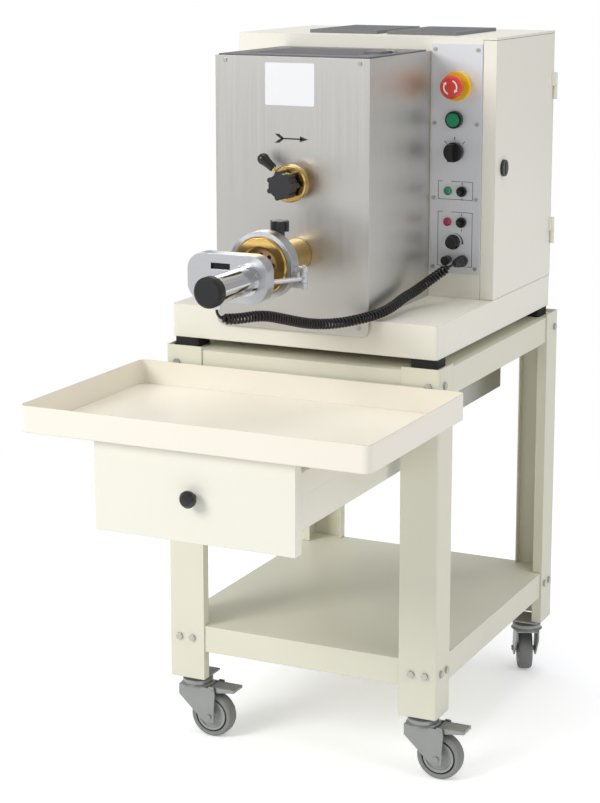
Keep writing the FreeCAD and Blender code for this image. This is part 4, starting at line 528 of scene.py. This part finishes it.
# Turned brass: warm gold with clear reflections and a slow drift of tone.
barrel_brass = coated("turned_brass", "#CDAC68", 0.24, metallic=1.0, mottle=0.1, mottle_mm=12,
                      grain_mm=0.5, edge_mm=0.7)
dress(barrel_brass, "barrel", "hub_collar", "lock_ring", "ring_nut")
# Die bronze: pinker and duller than the brass round it.
die_bronze = coated("die_bronze", "#E2B98C", 0.38, metallic=0.9, mottle=0.12, mottle_mm=6,
                    grain_mm=0.5, edge_mm=0.4)
dress(die_bronze, "die")
# Lever grip: glossy black.
grip_black = coated("black_lever_grip", "#191719", 0.3, mottle=0.1, grain_mm=0.7, edge_mm=0.6)
low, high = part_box("lock_ring")
grip_start = Vector((LEVER_ROOT[0], (low[1] + high[1]) / 2, LEVER_ROOT[1])) + LEVER_WAY * GRIP_START
grip_profile = [(4.4, 0), (6.4, 0.6), (7.2, 3), (7.6, 10), (8.6, 17)] + [
    (10 * math.sin(math.radians(angle)), 24 - 10 * math.cos(math.radians(angle)))
    for angle in range(70, 180, 10)] + [(0, 34)]
lever_grip = new_piece("lever_grip", turned("lever_grip", grip_profile, grip_start, LEVER_WAY, 40),
                       grip_black, "lock_ring")
crisp(lever_grip)

# Die head and cutter. The clamp body and the cutter's housing are aluminium castings, hinged
# together at the right. A dark sheet close behind the housing's slot is painted shade for the dark
# inside the opening. The motor tube is pressed into the housing, with a moulded cap on its end.
SLOT_SHADE_BACK, SLOT_SHADE_THICK = 184.6, 0.001
SLOT_SHADE_LEFT, SLOT_SHADE_RIGHT, SLOT_SHADE_Z, SLOT_SHADE_HIGH = -70, -24, 892, 16


def bar(x, z, x2, z2, wide, y):
    """The four corners of a straight line, in millimetres of the part's own frame."""
    run = Vector((x2 - x, 0, z2 - z)).normalized() * wide / 2
    off = Vector((-run.z, 0, run.x))
    ends = (Vector((x, y, z)) - run, Vector((x2, y, z2)) + run)
    return [corner / 1000 for corner in (ends[0] - off, ends[1] - off, ends[1] + off, ends[0] + off)]


# Satin aluminium: even cool silver with broad soft highlights.
cast_alloy = coated("satin_aluminium", "#C9CACD", 0.33, metallic=1.0, mottle=0.06, mottle_mm=14,
                    grain_mm=0.7, edge_mm=1.4)
dress(cast_alloy, "die_head", "cutter_bracket")
# Painted shade: a dark sheet behind the slot, so that the slot reads as an opening.
slot_shade_paint = coated("painted_slot_shade", "#1E1F22", 0.5, metallic=0.6, mottle=0.2, grain_mm=0.8,
                       edge_mm=0.2)
slot_shade_patch = bar(SLOT_SHADE_LEFT, SLOT_SHADE_Z, SLOT_SHADE_RIGHT, SLOT_SHADE_Z, SLOT_SHADE_HIGH,
              STAND_FRONT * 1000 - SLOT_SHADE_BACK)
flat_piece("slot_painted_shade", [slot_shade_patch], SLOT_SHADE_THICK, slot_shade_paint, "cutter")
# Chrome tube: mirror bright, so that it shows the room and the tray in long bands.
tube_chrome = coated("polished_chrome_tube", "#D7D7D8", 0.09, metallic=1.0, mottle=0.04, mottle_mm=30,
                     grain_mm=1.0, grain_depth=0.002, edge_mm=0.6)
dress(tube_chrome, "cutter_motor")
# Motor cap: flat black.
cap_black = coated("black_moulded_cap", "#0B0B0C", 0.5, mottle=0.1, grain_mm=0.9, edge_mm=1.0)
dress(cap_black, "motor_cap")

# Knobs. The lobed knob of the mixing shaft, the clamp knob on the die head and the dial of the
# door lock are moulded in one black phenolic, and screwed on.
# Phenolic grip: black with a grey sheen along the lobes.
knob_black = coated("black_phenolic_grip", "#232124", 0.38, mottle=0.15, mottle_mm=8, grain_mm=0.7,
                    edge_mm=1.2)
dress(knob_black, "mixer_knob", "clamp_knob", "door_lock")

# Control panel. A satin metal plate is screwed in front of the cabinet, and carries the stop
# and start buttons, switches, lamps, speed knob, fuse holder and socket.
# Panel plate: pale neutral grey with an upright brushed grain.
panel_grey = brushed("satin_panel_plate", "#DFE0E3", 0.55, "Z", mottle=0.02)
dress(panel_grey, "control_panel")
# Switch plastic: glossy black.
switch_black = coated("black_switch_plastic", "#141415", 0.35, mottle=0.1, grain_mm=0.6, edge_mm=0.6)
dress(switch_black, "selector_knob", "toggle_upper", "toggle_lower", "speed_knob", "panel_fittings",
      "estop_stem")
# Button plastics: clean signal red, yellow and green, each with a moulded gloss.
stop_red = coated("red_button_plastic", "#D8392B", 0.28, mottle=0.04, grain_mm=0.8, edge_mm=1.2, coat=0.3)
dress(stop_red, "estop_head")
stop_yellow = coated("yellow_collar_plastic", "#F0BE14", 0.32, mottle=0.04, grain_mm=0.8, edge_mm=1.0)
dress(stop_yellow, "estop_collar")
start_green = coated("green_button_plastic", "#128A5E", 0.3, mottle=0.05, grain_mm=0.8, edge_mm=0.8)
dress(start_green, "start_button")

# Panel print. Thin frames stand round the two groups of controls, with ticks for the switches
# and a scale that widens round the speed knob, all screen printed on the plate.
FRAMES = ((955.6, 987), (838.5, 933.5))
FRAME_LEFT, FRAME_RIGHT, FRAME_LINE = 137, 200.5, 0.9
SELECTOR_X, SELECTOR_Z = 166, 1038
SPEED_X, SPEED_Z = 166, 881
TOGGLE_X, LAMP_X = 181, 155
UPPER_Z, LOWER_Z = 970, 916
INK_THICK = 0.00015
panel_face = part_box("control_panel")[0][1] * 1000


def ring_part(x, z, inner, outer, start, end, y, steps=14, widen=0.0):
    """A curved line of ink round a centre. Angles run clockwise from straight up."""
    patches = []
    for step in range(steps):
        corners = []
        for share, outside in ((step, False), (step + 1, False), (step + 1, True), (step, True)):
            angle = math.radians(start + (end - start) * share / steps)
            radius = outer + widen * share / steps if outside else inner
            corners.append(Vector((x + radius * math.sin(angle), y, z + radius * math.cos(angle))) / 1000)
        patches.append(corners)
    return patches


# Screen print: flat dark grey ink.
print_ink = coated("grey_screen_print", "#4A4C50", 0.6, mottle=0.1, grain_mm=0.5, edge_mm=0.05)
lines = []
for low, high in FRAMES:
    for x, z, x2, z2 in ((FRAME_LEFT, low, FRAME_RIGHT, low), (FRAME_LEFT, low, FRAME_LEFT, high),
                         (FRAME_RIGHT, low, FRAME_RIGHT, high), (FRAME_LEFT, high, FRAME_LEFT + 8, high),
                         (FRAME_LEFT + 24, high, FRAME_RIGHT, high)):
        lines.append(bar(x, z, x2, z2, FRAME_LINE, panel_face))
for angle in (-45, 0, 45):
    across, up = math.sin(math.radians(angle)), math.cos(math.radians(angle))
    lines.append(bar(SELECTOR_X + 21 * across, SELECTOR_Z + 21 * up, SELECTOR_X + 26 * across,
                     SELECTOR_Z + 26 * up, 1.4, panel_face))
for level in (UPPER_Z, LOWER_Z):
    lines += [bar(TOGGLE_X, level + 12, TOGGLE_X, level + 15, 1.2, panel_face),
              bar(TOGGLE_X, level - 15, TOGGLE_X, level - 12, 1.2, panel_face)]
lines += ring_part(SPEED_X, SPEED_Z, 15.5, 16.0, 10, 100, panel_face, widen=3.0)
flat_piece("panel_print", lines, INK_THICK, print_ink, "machine")

# Pilot lamps. One green and one dark red lens, moulded in clear coloured plastic, are pushed
# into the plate beside the toggle switches.
LENS_PROFILE = [(0, 0), (7.5, 0), (7.5, 2.5), (6.8, 3.4)] + [
    (6.3 * math.cos(math.radians(angle)), 3.4 + 3.6 * math.sin(math.radians(angle)))
    for angle in range(0, 90, 10)] + [(0, 7)]
# Lens plastic: deep colour under a hard clear gloss.
for name, code, level in (("upper", "#0E8A5A", UPPER_Z), ("lower", "#A5123A", LOWER_Z)):
    lens = coated("lamp_lens_" + name, code, 0.15, mottle=0.1, mottle_mm=5, grain_mm=0.8, edge_mm=0.4,
                  coat=0.5)
    centre = Vector((LAMP_X, panel_face, level)) / 1000
    piece = new_piece("pilot_lamp_" + name,
                      turned("pilot_lamp_" + name, LENS_PROFILE, centre, (0, -1, 0), 40), lens, "machine")
    crisp(piece)
    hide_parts("pilot_lamps")

# Emergency stop. Two white arrows are moulded into the red head, and show which way it turns to
# let go.
STOP_X, STOP_Z = 171, 1152
ARROW_FROM, ARROW_SWEEP, TIP_SWEEP = (20, 200), 95, 122
MARK_SINK, MARK_THICK = 0.75, 0.0004
head_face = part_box("estop_head")[0][1] * 1000 + MARK_SINK
# Moulded mark: a warm white plastic.
arrow_white = coated("white_moulded_mark", "#F4EFE8", 0.35, mottle=0.03, grain_mm=0.5, edge_mm=0.1)
marks = []
for first in ARROW_FROM:
    marks += ring_part(STOP_X, STOP_Z, 10.5, 13, first, first + ARROW_SWEEP, head_face)
    root, tip = math.radians(first + ARROW_SWEEP), math.radians(first + TIP_SWEEP)
    marks.append(patch(head_face, *((STOP_X + radius * math.sin(angle), STOP_Z + radius * math.cos(angle))
                                    for radius, angle in ((8.2, root), (15.2, root), (11.7, tip)))))
estop_marks = flat_piece("estop_arrows", marks, MARK_THICK, arrow_white, "estop_head")

# Cover print. A blank white notice plate with rounded corners is stuck to the steel cover, and
# a feathered arrow printed below it shows the way the mixing shaft turns.
NOTICE_CORNERS = ((-65.6, 1134, 180), (18.2, 1134, 90), (18.2, 1198, 0), (-65.6, 1198, 270))
NOTICE_ROUND, NOTICE_THICK = 3, 0.0004
ARROW_LINE, ARROW_THICK = 2.4, 0.0002
cover_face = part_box("front_cover")[0][1] * 1000
# Notice plate: white plastic film with a soft gloss.
plate_white = coated("white_notice_plate", "#E9EAEB", 0.4, mottle=0.02, grain_mm=0.8, edge_mm=0.1)
edge_points = []
for x, z, first in NOTICE_CORNERS:
    for step in range(5):
        angle = math.radians(first + 90 - 22.5 * step)
        edge_points.append((x + NOTICE_ROUND * math.sin(angle), z + NOTICE_ROUND * math.cos(angle)))
flat_piece("notice_plate", [patch(cover_face, *edge_points)], NOTICE_THICK, plate_white, "machine")
# Arrow print: flat black ink.
arrow_ink = coated("black_arrow_print", "#101010", 0.5, mottle=0.1, grain_mm=0.5, edge_mm=0.05)
arrow = [bar(-38, 1076.5, -2, 1076.5, ARROW_LINE, cover_face),
         patch(cover_face, (-5, 1081.5), (10, 1076.5), (-5, 1071.5)),
         patch(cover_face, (-51, 1084), (-43, 1084), (-35, 1078), (-38, 1075.5), (-44, 1078.5)),
         patch(cover_face, (-38, 1077.5), (-35, 1075), (-43, 1069), (-51, 1069), (-44, 1074.5))]
flat_piece("direction_arrow", arrow, ARROW_THICK, arrow_ink, "machine")
